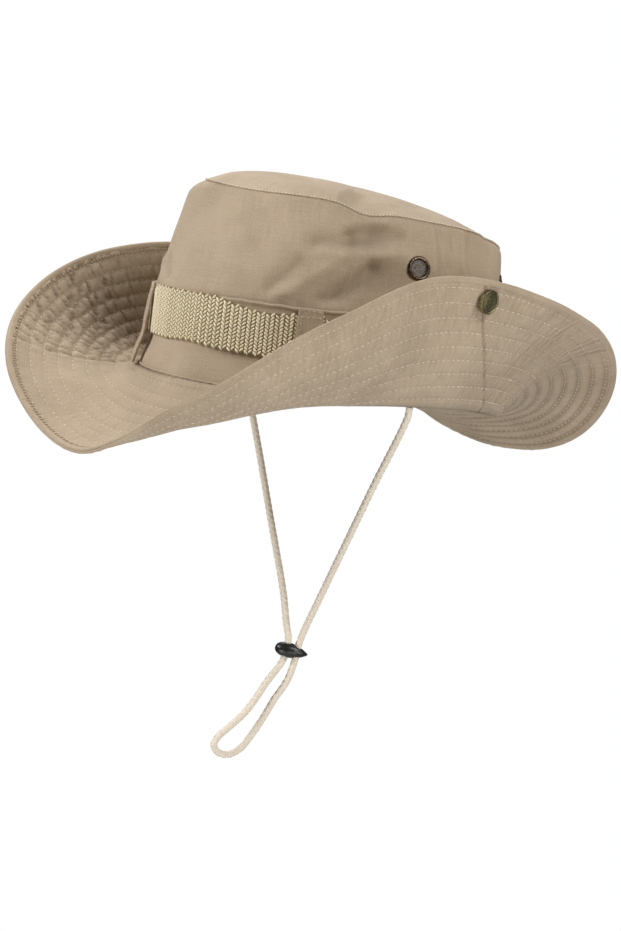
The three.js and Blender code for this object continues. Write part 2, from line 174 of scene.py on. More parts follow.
class Paint:
    """A finish: a material with its main shader, and the nodes that feed it."""

    def __init__(self, name, **constants):
        self.material = bpy.data.materials.new(name)
        self.material.use_nodes = True
        self.tree = self.material.node_tree
        self.shader = self.tree.nodes["Principled BSDF"]
        for socket, value in constants.items():
            self.shader.inputs[socket.replace("_", " ")].default_value = value

    def add(self, kind, settings, values, out=0):
        """A node of that kind: its settings first, then the numbers or wires of its sockets."""
        node = self.tree.nodes.new("ShaderNode" + kind)
        for name, value in settings.items():
            setattr(node, name, value)
        for name, value in values.items():
            self.put(node.inputs[name], value)
        return Wire(self, node.outputs[out])

    def put(self, socket, value):
        """Joins a wire to a socket, or sets a number there."""
        if isinstance(value, Wire):
            self.tree.links.new(value.socket, socket)
        else:
            socket.default_value = value

    def mix(self, factor, first, second):
        """A colour between two colours."""
        mixed = self.add("Mix", {"data_type": "RGBA"}, {0: factor, 6: first, 7: second}, out=2)
        return mixed

    def stretch(self, place, size):
        """A place divided by a size along each direction, for patterns longer one way than the other."""
        scale = tuple(1 / s for s in size)
        return self.add("VectorMath", {"operation": "MULTIPLY"}, {0: place, 1: scale})

    def noise(self, place, size, detail=2.0, rough=0.5):
        """Soft random values about 0.5, in spots of about that size in metres."""
        spots = self.stretch(place, size)
        return self.add("TexNoise", {}, {"Vector": spots, "Scale": 1.0, "Detail": detail, "Roughness": rough})

    def between(self, value, low, high):
        """0 below low, 1 above high and a smooth step between them."""
        return self.add("MapRange", {"interpolation_type": "SMOOTHSTEP"},
                        {"Value": value, "From Min": low, "From Max": high})

    def finish(self, color, roughness, height=None, depth=MM):
        """Joins the colour, the roughness and a relief of that depth in metres to the shader."""
        self.put(self.shader.inputs["Base Color"], color)
        self.put(self.shader.inputs["Roughness"], roughness)
        if height is not None:
            bump = self.add("Bump", {}, {"Strength": 1.0, "Distance": depth, "Height": height})
            self.put(self.shader.inputs["Normal"], bump)
        return self.material


def mottled(name, spot, dark, light, rough, edge=None, worn=0.0, relief=0.0, detail=2.0, fine=0.5,
            **constants):
    """A finish of two colours in soft spots of one size. edge narrows the step between them, worn adds the
    spots to the roughness, and relief is their depth."""
    paint = Paint(name, **constants)
    place = paint.add("TexCoord", {}, {}, out=3)
    spots = paint.noise(place, (spot, spot, spot), detail=detail, rough=fine)
    color = paint.mix(paint.between(spots, *edge) if edge else spots, (*dark, 1), (*light, 1))
    return paint.finish(color, spots * worn + rough if worn else rough, spots if relief else None, relief)


print("shader maths ready")

# %% [markdown]
# ## Surfaces from formulas
# The hat is soft, but its main shape is regular: a crown wall round an oval, a domed top and a brim whose
# slope changes evenly from the seam to its edge. Modelling it by pushing points about would lose the even
# rows of stitching. So each surface is a formula of an angle and a distance, worked out for a whole grid at
# once. The table gives a row for every thirty degrees; between the rows the values run on smoothly.

# %% The hat's own sizes
HALF_LONG = 105 * MM                # head opening, front to back
HALF_WIDE = 82.5 * MM
BRIM_WIDTH = 75 * MM
BRIM_THICK = 2 * MM
CROWN_THICK = 1.3 * MM
CROWN_HEIGHT = 98 * MM
DOME_HEIGHT = 111 * MM
DOME_SLOPE = 0.1056
DOME_POWER = 2.6
BAND_BOTTOM = 19.6 * MM
BAND_TALL = 25 * MM
TAPE_THICK = 2.4 * MM
GAP = 0.3 * MM
SEAM_ANGLE = 10.0                   # the crown's side seam, in degrees

# root and edge are the brim's slopes, sway its turn from the seam's normal, all in degrees;
# seam is a share of the brim's width, tall and lean are shares of the crown's height.
SHAPE = np.array([
    # angle, root, edge, sway,  seam,   tall,  lean
    [0, 46, 100, -7, 0.007, 1.003, 0.120],
    [30, 65, 46, 0, 0.020, 0.974, 0.110],
    [60, 57, 8, 6, -0.027, 0.902, 0.067],
    [90, 12, -33, 7, -0.047, 0.863, 0.049],
    [120, -5, -14, 1, -0.047, 0.902, 0.067],
    [150, 34, 33, -2, -0.027, 0.974, 0.110],
    [180, 67, 69, 0, 0.027, 1.003, 0.120],
    [210, 43, 59, 7, 0.080, 1.050, 0.127],
    [240, -9, 23, 13, 0.067, 1.059, 0.136],
    [270, -56, -15, 16, 0.020, 1.078, 0.148],
    [300, -55, 45, 8, -0.020, 1.059, 0.136],
    [330, -10, 99, -2, -0.047, 1.050, 0.127],
])
ROOT, EDGE, SWAY, SEAM, TALL, LEAN = range(1, 7)

# Hollows pressed into the crown: up, high and depth are shares of the crown's height.
HOLLOWS = [
    # angle, up, wide, high, depth
    (-16, 0.90, 9, 0.10, 0.060),
    (-9, 0.66, 9, 0.09, 0.045),
    (-36, 0.60, 10, 0.14, 0.022),
    (224, 0.62, 14, 0.14, 0.030),
    (160, 0.85, 12, 0.10, 0.025),
]
SAG_ANGLE, SAG_WIDE, SAG_DEPTH = -16, 8, 0.036
SLUMP_ANGLE, SLUMP_WIDE = 236, 26    # where the crown's top edge is rounded most


def smooth(t):
    """0 before 0, 1 after 1, and the cubic 3t^2 - 2t^3 between."""
    c = np.clip(t, 0, 1)
    return c * c * (3 - 2 * c)


def apart(a, b):
    """Difference of two angles in degrees, from -180 to 180."""
    return (a - b + 180) % 360 - 180


def hump(angle, middle, wide):
    """A bell over an angle: 1 in the middle, falling as exp(-x^2)."""
    return np.exp(-(apart(angle, middle) / wide) ** 2)


def shape(column, angle):
    """A column of SHAPE at any angle: a closed cubic through its values, each slope set by its neighbours."""
    n = len(SHAPE)
    u = np.mod(angle, 360) / (360 / n)
    i = np.floor(u).astype(int) % n
    t = u - np.floor(u)
    p, q, r, s = (SHAPE[(i + k) % n, column] for k in (-1, 0, 1, 2))
    return q + 0.5 * t * (r - p + t * (2 * p - 5 * q + 4 * r - s + t * (3 * (q - r) + s - p)))


def outward(angle, sway=0.0):
    """Level direction square to the opening's oval, turned by sway degrees."""
    t = np.radians(angle)
    way = np.arctan2(HALF_WIDE * np.sin(t), HALF_LONG * np.cos(t)) + np.radians(sway)
    return np.cos(way), np.sin(way)


def oval(angle, out):
    """Point of the head opening's oval, moved outwards."""
    t = np.radians(angle)
    nx, ny = outward(angle)
    return HALF_WIDE * np.cos(t) + nx * out, HALF_LONG * np.sin(t) + ny * out


def brim(angle, s, n):
    """Brim point, s along the cloth from the seam and n off its middle. The slope grows evenly with s, so
    run and rise are differences of its sine and cosine divided by the bend."""
    root = np.radians(shape(ROOT, angle))
    bend = (np.radians(shape(EDGE, angle)) - root) / BRIM_WIDTH
    bend = np.where(np.abs(bend) < 0.001, 0.001, bend)
    slope = root + bend * s
    run = (np.sin(slope) - np.sin(root)) / bend - n * np.sin(slope)
    rise = (np.cos(root) - np.cos(slope)) / bend + n * np.cos(slope)
    x, y = oval(angle, 0)
    wx, wy = outward(angle, shape(SWAY, angle))
    z = shape(SEAM, angle) * BRIM_WIDTH + rise
    return np.stack(np.broadcast_arrays(x + wx * run, y + wy * run, z), -1)


def wall_tall(angle):
    """Height of the crown wall above the brim seam, with its sunk stretch."""
    slump = 0.035 * hump(angle, SLUMP_ANGLE, SLUMP_WIDE)
    return CROWN_HEIGHT * (shape(TALL, angle) - SAG_DEPTH * hump(angle, SAG_ANGLE, SAG_WIDE) + slump)


def shoulder(angle, h):
    """How far the wall has turned in below the top seam: a quarter of an ellipse, larger where it slumps."""
    slump = hump(angle, SLUMP_ANGLE, SLUMP_WIDE)
    tall, deep = (3.5 + 6.0 * slump) * MM, (2.4 + 13.0 * slump) * MM
    t = 0.88 * np.clip((h - wall_tall(angle) + tall) / tall, 0, 1)
    return deep * (1 - np.sqrt(1 - t * t))


def stretch(angle, start, stop, ease_in, ease_out):
    """1 between two angles and 0 outside them, easing in and out within so many degrees."""
    return smooth(apart(angle, start) / ease_in) * smooth(apart(stop, angle) / ease_out)


def overhang(angle):
    """1 where the crown's cloth hangs over the webbing's upper edge, left of the front."""
    return stretch(angle, -108, -58, 8, 9)


def wall(angle, h, out):
    """Crown wall point, h above the brim seam: the oval drawn in by the band, the lean and the hollows."""
    top = wall_tall(angle)
    front = np.maximum(-np.sin(np.radians(angle)), 0) ** 2
    waist = CROWN_HEIGHT * (0.033 + 0.019 * front)
    band_top = BAND_BOTTOM + BAND_TALL + TAPE_THICK
    up = np.maximum(h - band_top, 0) / (top - band_top)
    inset = waist * smooth(h / BAND_BOTTOM) + CROWN_HEIGHT * shape(LEAN, angle) * up ** 1.15
    for at, share, wide, high, depth in HOLLOWS:
        bell = hump(angle, at, wide) * np.exp(-((h / CROWN_HEIGHT - share) / high) ** 2)
        inset = inset + CROWN_HEIGHT * depth * bell * smooth((h - band_top - 4 * MM) / (10 * MM))
    x, y = oval(angle, out - inset - shoulder(angle, h))
    z = shape(SEAM, angle) * BRIM_WIDTH * (1 - np.minimum(h / top, 1)) + h
    return np.stack(np.broadcast_arrays(x, y, z), -1)


def dome(angle, r, lift, edge=0.0):
    """Top panel point, r from 0 in the middle to 1 at the seam: the seam's height and the dome's, mixed
    by a power of r. edge moves the seam outwards."""
    seam = wall(angle, wall_tall(angle), edge)
    k = r ** DOME_POWER
    x, y = seam[..., 0] * r, seam[..., 1] * r
    z = seam[..., 2] * k + (DOME_HEIGHT - DOME_SLOPE * y) * (1 - k) + lift
    return np.stack(np.broadcast_arrays(x, y, z), -1)


print("brim edge at the left", np.round(brim(np.array(0.0), BRIM_WIDTH, 0.0) / MM, 1), "mm")

# %% [markdown]
# ## Meshes from arrays
# A grid of points becomes a mesh by joining each point to its neighbours. Faces could be added one by one,
# but whole arrays are quicker and shorter. A closed body has to turn its faces outwards: the sum of the
# small tetrahedra between the origin and each face is its volume, and where that comes out negative, the
# faces are turned over.

# %% Mesh helpers
RING = 720                          # stations of the thin rings, half a degree apart
ring_stations = (SEAM_ANGLE + np.arange(RING) * 0.5)[:, None]


def ring_faces(stations, corners, closed_across=True):
    """Quads between neighbouring cross-sections of a ring, each with its own corners in order."""
    last = corners if closed_across else corners - 1
    i, j = np.meshgrid(np.arange(stations), np.arange(last), indexing="ij")
    a, b = i * corners, (i + 1) % stations * corners
    k = (j + 1) % corners
    return np.stack([a + j, b + j, b + k, a + k], -1).reshape(-1, 4)


def ring_map(u, v):
    """Map corners for ring_faces: u grows round the ring and v across it, and neither jumps back."""
    u0, v0 = np.meshgrid(u[:-1], v[:-1], indexing="ij")
    u1, v1 = np.meshgrid(u[1:], v[1:], indexing="ij")
    pairs = [np.stack([u0, v0], -1), np.stack([u1, v0], -1), np.stack([u1, v1], -1), np.stack([u0, v1], -1)]
    return np.stack(pairs, -2).reshape(-1, 2)


def volume(points, faces):
    """Sum of the signed tetrahedra between the origin and each face, which is cut into triangles."""
    total = 0.0
    for group in faces:
        p = points[group]
        for k in range(1, group.shape[1] - 1):
            total += np.einsum("ij,ij->i", p[:, 0], np.cross(p[:, k], p[:, k + 1])).sum() / 6
    return total


def make_piece(name, points, faces, finish, slot, stands_for=(), uv=None, sharp=None, painted_shade=None):
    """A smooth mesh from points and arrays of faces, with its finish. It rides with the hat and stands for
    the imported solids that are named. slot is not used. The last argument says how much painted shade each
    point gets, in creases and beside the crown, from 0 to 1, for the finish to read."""
    points = np.asarray(points, float).reshape(-1, 3)
    turned_in = volume(points, faces) < 0
    mesh = bpy.data.meshes.new(name)
    mesh.vertices.add(len(points))
    mesh.vertices.foreach_set("co", points.ravel())
    sizes = np.concatenate([np.full(len(f), f.shape[1]) for f in faces])
    mesh.loops.add(int(sizes.sum()))
    mesh.loops.foreach_set("vertex_index", np.concatenate([f.ravel() for f in faces]))
    mesh.polygons.add(len(sizes))
    mesh.polygons.foreach_set("loop_start", np.concatenate([[0], np.cumsum(sizes)[:-1]]))
    if uv is not None:
        mesh.uv_layers.new(name="Cloth").data.foreach_set("uv", uv.ravel())
    # Painted shade: how much darker each point is painted, in creases and beside the crown, kept for the
    # finish.
    if painted_shade is not None:
        mesh.attributes.new("PaintedShade", "FLOAT", "POINT").data.foreach_set("value", np.ravel(painted_shade))
    mesh.update(calc_edges=True)
    if turned_in:
        mesh.flip_normals()
    mesh.shade_smooth()
    if sharp is not None:
        mesh.set_sharp_from_angle(angle=math.radians(sharp))
    mesh.materials.append(finish)
    piece = bpy.data.objects.new(name, mesh)
    bpy.context.collection.objects.link(piece)
    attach(piece, "root")
    if stands_for:
        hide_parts(*stands_for)
    triangles = sum(len(f) * (f.shape[1] - 2) for f in faces)
    print(f"{name}: {triangles} triangles")
    return piece


def surface_frame(surface, a, b):
    """Point of a surface, the unit directions in which a and b grow, and the unit normal between them."""
    point = surface(a, b)
    along = surface(a + 0.05, b) - surface(a - 0.05, b)
    up = surface(a, b + 0.05 * MM) - surface(a, b - 0.05 * MM)
    normal = np.cross(along, up)
    unit = [v / np.linalg.norm(v, axis=-1, keepdims=True) for v in (along, up, normal)]
    return point, *unit


def turned(profile, place, axis, segments=48):
    """A lathe shape: pairs of radius and height turned about an axis. A radius of 0 closes it there."""
    axis = np.asarray(axis, float) / np.linalg.norm(axis)
    side = np.cross(axis, (0, 0, 1) if abs(axis[2]) < 0.9 else (1, 0, 0))
    side /= np.linalg.norm(side)
    other = np.cross(axis, side)
    t = np.linspace(0, 2 * np.pi, segments, endpoint=False)[:, None, None]
    radius, height = np.array(profile, float).T
    points = place + radius[:, None] * (np.cos(t) * side + np.sin(t) * other) + height[:, None] * axis
    return points, [ring_faces(segments, len(profile))]


def weld(piece):
    """Merges the points that a pole or a seam holds twice, and turns the faces outwards."""
    shell = bmesh.new()
    shell.from_mesh(piece.data)
    bmesh.ops.remove_doubles(shell, verts=shell.verts, dist=0.002 * MM)
    bmesh.ops.delete(shell, geom=[e for e in shell.edges if not e.link_faces], context="EDGES")
    bmesh.ops.recalc_face_normals(shell, faces=shell.faces)
    shell.to_mesh(piece.data)
    shell.free()
    return piece


def cut(piece, cutters):
    """Takes the cutters' shapes out of a piece, and removes them."""
    for cutter in cutters:
        change = piece.modifiers.new("cut", "BOOLEAN")
        change.operation = "DIFFERENCE"
        change.solver = "EXACT"
        change.object = cutter
    solid = piece.evaluated_get(bpy.context.evaluated_depsgraph_get())
    shaped = bpy.data.meshes.new_from_object(solid)
    piece.modifiers.clear()
    piece.data = shaped
    for cutter in cutters:
        bpy.data.objects.remove(cutter)
    return piece


def rod(place, axis, radius, half_long, segments=32):
    """A plain closed rod that is only used to cut with."""
    profile = [(0, -half_long), (radius, -half_long), (radius, half_long), (0, half_long)]
    points, faces = turned(profile, place, axis, segments)
    mesh = bpy.data.meshes.new("rod")
    mesh.from_pydata(points.reshape(-1, 3).tolist(), [], faces[0].tolist())
    cutter = bpy.data.objects.new("rod", mesh)
    bpy.context.collection.objects.link(cutter)
    return weld(cutter)


print("mesh helpers ready")

# %% [markdown]
# ## Chin cord
# The cord is a thin braid of eight cotton strands. It leaves the left side of the crown, goes through the
# black bead, hangs in a loop, comes back through the bead and ends on the right. A curve with a round bevel
# would be quick, but smooth as wire. Here the braid is in the shape: two families of strands wind round the
# cord in opposite ways, and wherever they cross, the upper one bulges like a grain of rice.

# %% Cord route
CORD_WIDE = 3.8 * MM
STRAND_PAIRS = 4
BRAID_PITCH = 3.8 * MM              # along the cord, from one crossing to the next
LOCK_PLACE = np.array((0, 1, -143.3)) * MM
LOCK_LONG, LOCK_TALL, LOCK_DEEP = 18.5 * MM, 8.4 * MM, 9.6 * MM
LOCK_HOLE = 4.8 * MM
HOLE_SPACING = 6.2 * MM
lock_along = np.array((0.56, 0.817, -0.139))
lock_along /= np.linalg.norm(lock_along)
lock_down = np.array((0, 0, -1.0)) + lock_along * lock_along[2]
lock_down /= np.linalg.norm(lock_down)
lock_face = np.cross(lock_along, lock_down)


def through_lock(side, downs):
    """Places in one of the bead's holes, at distances below its middle, in millimetres."""
    return [(LOCK_PLACE + lock_along * side * HOLE_SPACING / 2 + lock_down * d * MM) / MM for d in downs]


cord_points = np.array([
    (79.9, 4.5, -1.0), (79.2, 4.6, -6), (74, 4.9, -15), (55.5, 5.7, -42.6), (32.5, 7.0, -78.5),
    (12.5, 6.8, -113), (4.6, 5.3, -130),
    *through_lock(1, (-5.5, 0, 5.5)),
    (1.5, -0.8, -160), (1.0, -7.5, -170.5), (0.6, -12.6, -180), (0.4, -18.6, -189.5), (0.2, -25, -197.8),
    (0.0, -32.6, -201.6), (0.0, -39.5, -200.4), (0.0, -42.6, -196.4), (0.0, -40.2, -191.9),
    (0.0, -33.6, -186.2), (-0.3, -25.3, -179), (-0.6, -18.7, -170.8), (-1.2, -13, -162.5),
    *through_lock(-1, (5.5, 0, -5.5)),
    (-5.4, -0.8, -128.5), (-14, 0.8, -113), (-28.5, 2.2, -90), (-42, 3.5, -69.2), (-58.5, 4.2, -40.6),
    (-73, 4.6, -16), (-78.6, 4.6, -6), (-79.6, 4.5, 0.6),
]) * MM


def smooth_route(points, spacing):
    """A curve through the points, evenly divided. Each stretch is a blend of straight lines whose knots lie
    the square root of a chord apart, which keeps close points from making it loop."""
    ends = np.vstack([2 * points[0] - points[1], points, 2 * points[-1] - points[-2]])
    knots = np.concatenate([[0], np.cumsum(np.sqrt(np.linalg.norm(np.diff(ends, axis=0), axis=1)))])
    pieces = []
    for i in range(len(points) - 1):
        p, k = ends[i:i + 4], knots[i:i + 4]
        t = np.linspace(k[1], k[2], 40, endpoint=False)[:, None]
        a = [(k[j + 1] - t) / (k[j + 1] - k[j]) * p[j] + (t - k[j]) / (k[j + 1] - k[j]) * p[j + 1]
             for j in range(3)]
        b = [(k[j + 2] - t) / (k[j + 2] - k[j]) * a[j] + (t - k[j]) / (k[j + 2] - k[j]) * a[j + 1]
             for j in range(2)]
        pieces.append((k[2] - t) / (k[2] - k[1]) * b[0] + (t - k[1]) / (k[2] - k[1]) * b[1])
    line = np.vstack([*pieces, points[-1]])
    far = np.concatenate([[0], np.cumsum(np.linalg.norm(np.diff(line, axis=0), axis=1))])
    even = np.linspace(0, far[-1], int(far[-1] / spacing) + 1)
    return np.stack([np.interp(even, far, line[:, k]) for k in range(3)], -1), even


cord_route, cord_far = smooth_route(cord_points, 0.35 * MM)


# %% Braided cord
def braid(turn, far):
    """Height of a round braid from 0 to 1. Two coordinates run along the two families of strands; the
    whole parts tell which strand is on top, the rest its bulge: full across it, falling off along it."""
    a = STRAND_PAIRS * turn + far / BRAID_PITCH
    b = STRAND_PAIRS * turn - far / BRAID_PITCH
    fa, fb = a - np.floor(a), b - np.floor(b)
    over = (np.floor(a) + np.floor(b)) % 2 == 0
    across = 1 - (2 * np.where(over, fa, fb) - 1) ** 4
    along = np.sqrt(np.maximum(1 - (2 * np.where(over, fb, fa) - 1) ** 2, 0))
    return across * along


def tube(route, radius, segments):
    """Points of a tube along a route, closed by a point at each end. Its cross-sections are turned from the
    world's X, which no part of this route runs along. radius(turn, station) is asked for the whole grid."""
    ahead = np.gradient(route, axis=0)
    ahead /= np.linalg.norm(ahead, axis=1, keepdims=True)
    side = np.array((1.0, 0, 0)) - ahead * ahead[:, :1]
    side /= np.linalg.norm(side, axis=1, keepdims=True)
    other = np.cross(ahead, side)
    turn = np.linspace(0, 1, segments, endpoint=False)
    r = radius(turn[None, :], np.arange(len(route))[:, None])[..., None]
    t = 2 * np.pi * turn[None, :, None]
    skin = route[:, None] + r * (np.cos(t) * side[:, None] + np.sin(t) * other[:, None])
    points = np.vstack([skin.reshape(-1, 3), route[:1], route[-1:]])
    quads = ring_faces(len(route), segments)[:-segments]
    j = np.arange(segments)
    k = (j + 1) % segments
    far_end = (len(route) - 1) * segments
    caps = np.concatenate([np.stack([k, j, np.full(segments, len(points) - 2)], -1),
                           np.stack([far_end + j, far_end + k, np.full(segments, len(points) - 1)], -1)])
    return points, [quads, caps]


cord_paint = Paint("cream_cord", Specular_IOR_Level=0.2, Sheen_Weight=0.15)
cord_place = cord_paint.add("TexCoord", {}, {}, out=3)
cord_fuzz = cord_paint.noise(cord_place, (0.5 * MM, 0.5 * MM, 1.5 * MM), detail=3)
cord_tone = cord_paint.noise(cord_place, (9 * MM, 9 * MM, 9 * MM))
cord_color = cord_paint.mix(cord_fuzz * 0.7 + cord_tone * 0.3, (0.66, 0.56, 0.43, 1), (0.92, 0.84, 0.72, 1))
cord_finish = cord_paint.finish(cord_color, 0.85, cord_fuzz, 0.25 * MM)

points, faces = tube(cord_route, lambda turn, i: CORD_WIDE / 2 * (0.84 + 0.2 * braid(turn, cord_far[i])), 26)
cord = make_piece("braided_cord", points, faces, cord_finish, "cord", ["chin_cord"])

# %% [markdown]
# ## Cord lock
# The black bead keeps the loop from slipping. It is moulded plastic with a rounded end, a pointed end and
# two holes. It is turned on a lathe from a formula, squeezed a little, and the holes are cut through.

# %% Cord lock
plastic_finish = mottled("black_plastic", 1.5 * MM, (0.006, 0.006, 0.006), (0.02, 0.02, 0.022), 0.2,
                         worn=0.25, relief=0.08 * MM, detail=4, Specular_IOR_Level=0.5)

ROUND_END, POINTED_END = 0.48, 0.8  # powers: the higher, the sharper
t = np.linspace(0, np.pi, 49)
x = -np.cos(t)
bead = (1 + x) ** ROUND_END * (1 - x) ** POINTED_END
bead *= 1 / bead.max()
bead[[0, -1]] = 0
points, faces = turned(np.stack([bead, x], -1), np.zeros(3), (0, 0, 1), 64)
squeezed = points * np.array((LOCK_DEEP / 2, LOCK_TALL / 2, LOCK_LONG / 2))
points = LOCK_PLACE + squeezed @ np.array([-lock_face, -lock_down, lock_along])
lock = make_piece("cord_bead", points, faces, plastic_finish, "black_plastic", ["cord_lock"])
weld(lock)
holes = [rod(LOCK_PLACE + lock_along * side * HOLE_SPACING / 2, lock_down, LOCK_HOLE / 2, LOCK_TALL)
         for side in (-1, 1)]
cut(lock, holes)
lock.data.set_sharp_from_angle(angle=math.radians(40))

# %% [markdown]
# ## Cotton
# The cloth is a plain-woven khaki cotton. Seen close, its threads make a fine grain; from further off it
# shows faint long streaks where a thread is thicker, and soft cloudy patches. The streaks follow the cloth,
# so they read the piece's own map; the clouds read the object's place, so they run on across a seam.

# %% Cotton finish
def cotton(name, dark, light, ribs=0.0):
    """Khaki cloth between two colours. ribs adds fine gathers along the map's second direction. Where the
    piece gives a point painted shade, in creases and beside the crown, the cloth is painted darker."""
    paint = Paint(name, Specular_IOR_Level=0.15, Sheen_Weight=0.12, Sheen_Roughness=0.5)
    place = paint.add("TexCoord", {}, {}, out=3)
    cloth = paint.add("TexCoord", {}, {}, out=2)
    clouds = paint.noise(place, (28 * MM, 28 * MM, 28 * MM), detail=3)
    threads = paint.noise(cloth, (0.55 * MM, 0.55 * MM, MM), detail=2, rough=0.7)
    upright = paint.noise(cloth, (0.9 * MM, 14 * MM, MM), detail=2)
    level = paint.noise(cloth, (14 * MM, 0.9 * MM, MM), detail=2)
    gathers = paint.noise(cloth, (1.5 * MM, 8 * MM, MM), detail=1)
    # Painted shade: the piece's point attribute, from 0 to 1, says how much darker the cloth is painted.
    crease = paint.add("Attribute", {"attribute_name": "PaintedShade"}, {}, out=2)
    shade = clouds * 0.36 + threads * 0.80 + upright * 0.16 + level * 0.14 + gathers * (0.16 * ribs)
    color = paint.mix(paint.between(shade, 0.47 + 0.08 * ribs, 0.99 + 0.08 * ribs), dark, light)
    height = threads * 0.7 + upright * 0.2 + level * 0.2 + gathers * ribs
    # Painted shade: the colour is mixed towards a dark brown in creases and beside the crown.
    color = paint.mix(crease * PAINTED_SHADE_AMOUNT, color, PAINTED_SHADE_COLOR)
    return paint.finish(color, 0.92, height, 0.26 * MM)


KHAKI_DARK = (0.345, 0.264, 0.180, 1)
KHAKI_LIGHT = (0.560, 0.443, 0.318, 1)
# Painted shade: the dark brown that creases and the channel beside the crown are painted towards, and the
# largest share of it.
PAINTED_SHADE_COLOR = (0.10, 0.062, 0.03, 1)
PAINTED_SHADE_AMOUNT = 0.85
crown_cotton = cotton("khaki_cotton", KHAKI_DARK, KHAKI_LIGHT)
upper_cotton = cotton("khaki_upper_cotton", KHAKI_DARK, KHAKI_LIGHT, ribs=0.5)
under_cotton = cotton("khaki_under_cotton", KHAKI_DARK, KHAKI_LIGHT, ribs=1.6)

thread_finish = mottled("sewing_thread", 6 * MM, (0.57, 0.48, 0.35), (0.82, 0.73, 0.58), 0.8,
                        Specular_IOR_Level=0.3, Sheen_Weight=0.1)
print("cotton and thread ready")

# %% [markdown]
# ## Crown wall
# The wall is one band of cloth, sewn together at the sides. It was folded in a suitcase or a hand, and keeps
# the dents: long valleys with a ridge beside them. A simulation would put folds somewhere; a short table puts
# them where this hat has them. Each fold is a straight stretch on the cloth, and the wall moves in or out by
# a bell of the distance to it.

# %% Crown wall
CLOTH_PER_DEGREE = 1.636 * MM       # along the wall, for one degree
FOLDS = [
    # angle, height, to angle, to height, wide, out (all but the angles in millimetres)
    (-34, 82, -21.5, 84.5, 4.5, -2.9),
    (-21.5, 84.5, -5, 88, 4.5, -2.9),
    (-24, 92.5, -8, 94.5, 3.0, 1.3),
    (-31, 77, -23, 76, 3.2, 1.8),
    (-23, 76, -3, 79.5, 3.2, 1.8),
    (-39, 70.5, -47, 55, 4.0, -2.2),
    (-27, 71, -45, 50, 4.0, 1.8),
    (-13.5, 69, -29, 51, 5.0, -3.0),
    (-13.5, 69, 0, 71, 5.5, -1.8),
    (-24, 74, -28, 53, 1.0, 0.65),
    (-20, 71, -23, 56, 1.0, 0.60),
    (-15, 69, -18, 55, 1.0, 0.50),
    (13, 96, 12, 76, 2.0, 1.2),
    (18, 95, 16, 74, 2.6, -1.9),
    (23, 95, 22, 74, 2.4, 1.5),
    (28, 94, 26, 72, 2.6, -2.0),
    (35, 92, 35, 74, 3.5, 1.6),
    (42, 92, 41, 72, 3.5, -1.7),
    (50, 86, 78, 86, 13.0, 1.6),
    (-110, 60, -100, 47, 4.0, 1.6),
    (-104, 63, -89, 46, 1.7, -1.5),
    (205, 55, 222, 78, 5.0, -1.8),
    (222, 78, 240, 84, 5.0, -1.2),
    (215, 56, 235, 68, 5.0, 1.2),
    (100, 58, 120, 70, 6.0, -1.6),
    (120, 70, 138, 66, 6.0, -1.0),
    (104, 66, 122, 78, 5.0, 1.0),
    (72, 60, 84, 76, 6.0, -1.2),
]
WALL_STATIONS, WALL_ROWS, INNER_ROWS = 640, 80, 32
VENT_TILT_AT, VENT_TILT = (2.8, 72.5), 0.14   # the cloth below the left front eyelet is turned to the front


def fold_relief(angle, h):
    """Sum of the folds: out times a bell of the distance to each fold's stretch, on the flat cloth."""
    total = np.zeros(np.broadcast(angle, h).shape)
    for at, low, to, high, wide, out in FOLDS:
        px, py = apart(angle, at) * CLOTH_PER_DEGREE, h - low * MM
        dx, dy = (to - at) * CLOTH_PER_DEGREE, (high - low) * MM
        t = np.clip((px * dx + py * dy) / (dx * dx + dy * dy), 0, 1)
        far = np.hypot(px - t * dx, py - t * dy)
        total = total + out * MM * np.exp(-(far / (wide * MM)) ** 2)
    return total


def waves(angle, counts, start=0.0):
    """Uneven soft waves round the hat: a mean of sines with whole numbers of turns."""
    t = np.radians(angle)
    return sum(np.sin(n * t + start + 1.7 * k) for k, n in enumerate(counts)) / len(counts)


def wall_relief(angle, h):
    """Folds, the side seams' grooves, small gathers under the top seam and above the band."""
    top = wall_tall(angle)
    clear = smooth((h - 48 * MM) / (6 * MM))
    across, up = apart(angle, VENT_TILT_AT[0]) * CLOTH_PER_DEGREE, h - VENT_TILT_AT[1] * MM
    held = np.exp(-(across ** 2 + up ** 2) / (9 * MM) ** 2)
    relief = fold_relief(angle, h) * clear * (1 - held) + VENT_TILT * across * held
    for seam in (SEAM_ANGLE, SEAM_ANGLE + 180):
        far = apart(angle, seam) * CLOTH_PER_DEGREE
        relief = relief - 0.5 * MM * np.exp(-(far / (0.7 * MM)) ** 2) * clear
        relief = relief + 0.3 * MM * np.exp(-((far - 2.2 * MM) / (1.5 * MM)) ** 2) * clear
    near_top = np.exp(-(top - h) / (7 * MM))
    near_band = np.exp(-np.abs(h - 48 * MM) / (6 * MM))
    relief = relief + 0.35 * MM * near_top * waves(angle, (61, 83, 97, 112))
    relief = relief + 0.30 * MM * near_band * waves(angle, (47, 59, 71), 2.0)
    over_band = np.exp(-(np.maximum(h - 49 * MM, 0) / (5 * MM)) ** 2) * smooth((h - 46.2 * MM) / (1.8 * MM))
    relief = relief + 2.2 * MM * overhang(angle) * over_band
    return relief + 0.5 * MM * waves(angle, (5, 8, 11)) * clear


